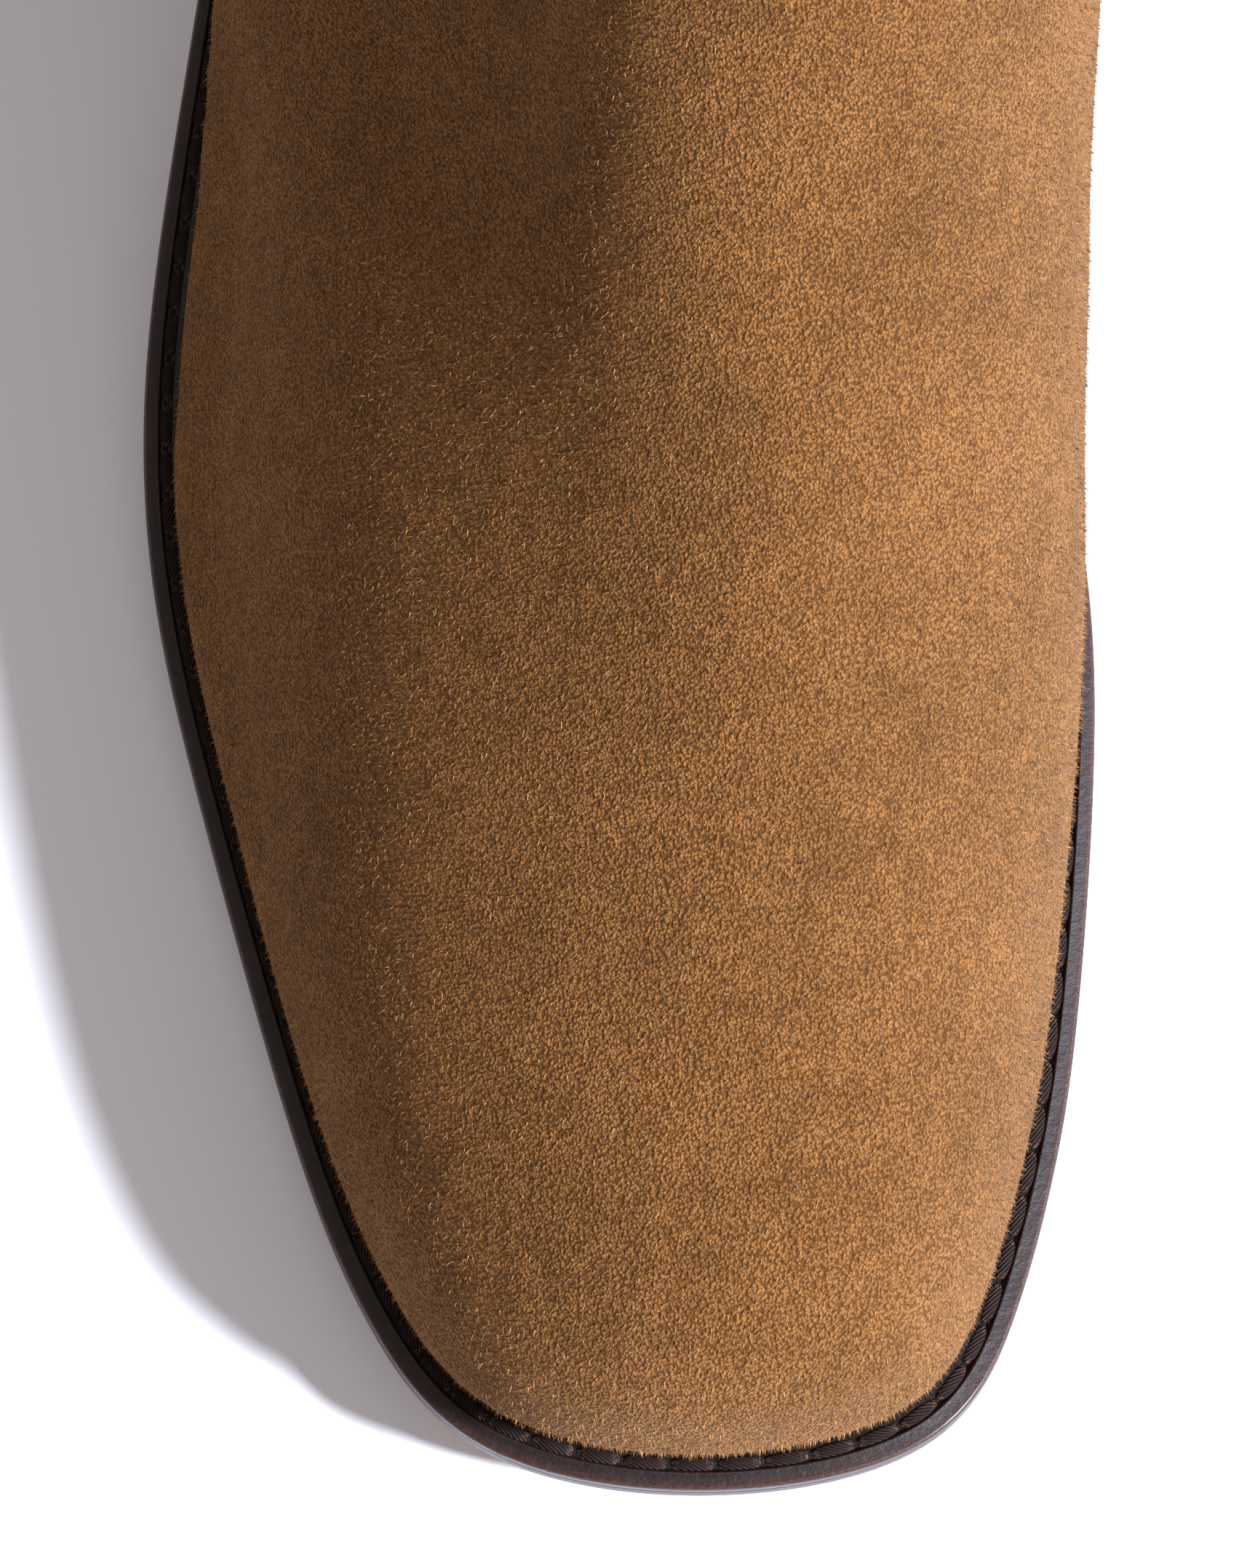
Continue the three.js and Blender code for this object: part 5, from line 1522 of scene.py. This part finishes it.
def nap(name, key, seed):
    surface = outer_face(name + "_surface", key)
    area = sum(polygon.area for polygon in surface.data.polygons)
    return grow(
        surface, NAP, name, Density=NAP_COUNT * FINE**2 / area, Length=NAP_LENGTH * MM,
        Radius=NAP_RADIUS * MM, Spread=NAP_SPREAD, Lean=BRUSHED, Seed=seed, Finish=loose_suede,
    )


naps = [
    nap("vamp_nap_1", "vamp", 1), nap("vamp_nap_2", "vamp", 2), nap("quarter_nap", "quarter", 3)
]

# %% [markdown]
# ## Put the pieces together
#
# Each piece rides on the boot's body and takes its finish, and the CAD nodes that it stands for are
# hidden. Each row also names a finish slot.

# %% Pieces that ride on the boot
# Each with its slot, its finish if it has none yet, and the node that it stands for.
pieces = [
    (vamp, "suede", suede, ["vamp"]),
    (quarter, "suede", suede, ["quarter"]),
    (vamp_lining, "lining_leather", lining_leather, ["vamp_lining"]),
    (quarter_lining, "lining_leather", lining_leather, ["quarter_lining"]),
    (gores[0], "elastic", elastic, ["lateral_gore"]),
    (gores[1], "elastic", elastic, ["medial_gore"]),
    (outsole, "outsole_leather", outsole_leather, ["outsole"]),
    (insole, "insole_leather", insole_leather, ["insole"]),
    (sock_liner, "sock_leather", sock_leather, ["sock_liner"]),
    (welt, "welt_leather", welt_leather, ["welt"]),
    (heel_rand, "welt_leather", welt_leather, ["heel_rand"]),
    (welt_stitches, "seam_thread", None, ["welt_thread"]),
    (needle_holes, "welt_leather", None, []),
    (upper_stitches, "seam_thread", None, []),
]
pieces += [(piece, "suede", None, []) for piece in naps]
for i, piece in enumerate(heel[:-1], 1):
    pieces.append((piece, "stacked_leather", stacked_leather, [f"heel_lift_{i}"]))
pieces.append((heel[-1], "top_piece_rubber", top_piece_rubber, ["heel_top_piece"]))
pieces += [(piece, "nail_brass", nail_brass, [piece.name.split(".")[0]]) for piece in nails]
for piece, slot, finish, stands_for in pieces:
    if finish:
        piece.data.materials.clear()
        piece.data.materials.append(finish)
    if stands_for and piece.name.split(".")[0] == stands_for[0]:
        piece.name = "made_" + stands_for[0]
    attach(piece, "boot")
    if stands_for:
        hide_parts(*stands_for)

print("on the boot:", len(pieces), "pieces")

# %% Pull tabs, and the CAD solids that stay
BEND = 2.4  # how far above and below the fold the two ends lie
for piece, body in ((front_tab, "front_pull_tab"), (rear_tab, "rear_pull_tab")):
    piece.data.materials.append(webbing)
    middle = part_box(body)[0].lerp(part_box(body)[1], 0.5)
    fold = (SHAFT_HEIGHT + TAB_RISE) * MM
    low_end, high_end = ((middle.x, middle.y, fold + k * BEND * MM) for k in (-1, 1))
    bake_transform(piece)
    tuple(low_end)
    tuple(high_end)
    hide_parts(body, body + "_tail")
for node, finish in (
    ("insole_rib", insole_leather), ("cork_filler", cork), ("shank", shank_steel),
    ("toe_puff", stiffener), ("heel_counter", stiffener),
):
    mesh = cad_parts[node].data
    for k in range(len(mesh.materials)):
        mesh.materials[k] = finish
print("pieces:", len(pieces) + 2)

# %% [markdown]
# ## Camera, light and floor
#
# The view is from above, a little in front of the toe, through a long lens. One round light stands to
# the right and a little in front. It is low enough to leave the left side in shade, and wide enough
# to give the shadow on the floor a soft edge. A pale sky fills in the rest.

# %% Camera
camera = bpy.data.objects.new("camera", bpy.data.cameras.new("camera"))
bpy.context.scene.collection.objects.link(camera)
camera.data.lens = 155.9
camera.location = (-0.0013, -0.2112, 0.75)
aim = Vector((0.0007, -0.0731, 0.02))
camera.rotation_euler = (aim - camera.location).to_track_quat("-Z", "Y").to_euler()
bpy.context.scene.camera = camera
print("camera:", round(camera.location.z, 2), "m up, lens", round(camera.data.lens, 1), "mm")

# %% Floor and light
FLOOR_HALF = 3000.0
floor = new_object(
    "floor",
    [[x * FLOOR_HALF, y * FLOOR_HALF, -0.1] for x, y in ((-1, -1), (1, -1), (1, 1), (-1, 1))],
    [[0, 1, 2, 3]],
)
paper = Finish("floor paper", 0.9, Specular_IOR_Level=0.1)
tone = paper.mix(paper.mottle(60.0)[0], (0.86, 0.86, 0.87), (0.88, 0.88, 0.885))
paper.send(tone, "Base Color")
floor.data.materials.append(paper.material)


def area_light(name, place, towards, size, energy, tint):
    data = bpy.data.lights.new(name, "AREA")
    data.shape, data.size, data.energy, data.color = "DISK", size, energy, tint
    light = bpy.data.objects.new(name, data)
    light.location = place
    light.rotation_euler = (Vector(towards) - Vector(place)).to_track_quat("-Z", "Y").to_euler()
    bpy.context.scene.collection.objects.link(light)


area_light("key", (1.25, -0.51, 1.08), (0, -0.05, 0.02), 0.26, energy=106, tint=(0.92, 0.97, 1.12))
world = bpy.data.worlds.new("studio")
bpy.context.scene.world = world
world.use_nodes = True
sky = world.node_tree.nodes["Background"]
sky.inputs["Color"].default_value = (1.0, 0.93, 0.96, 1)
sky.inputs["Strength"].default_value = 0.5
bpy.context.scene.view_settings.view_transform = "Standard"
print("lights:", [light.name for light in bpy.data.lights])
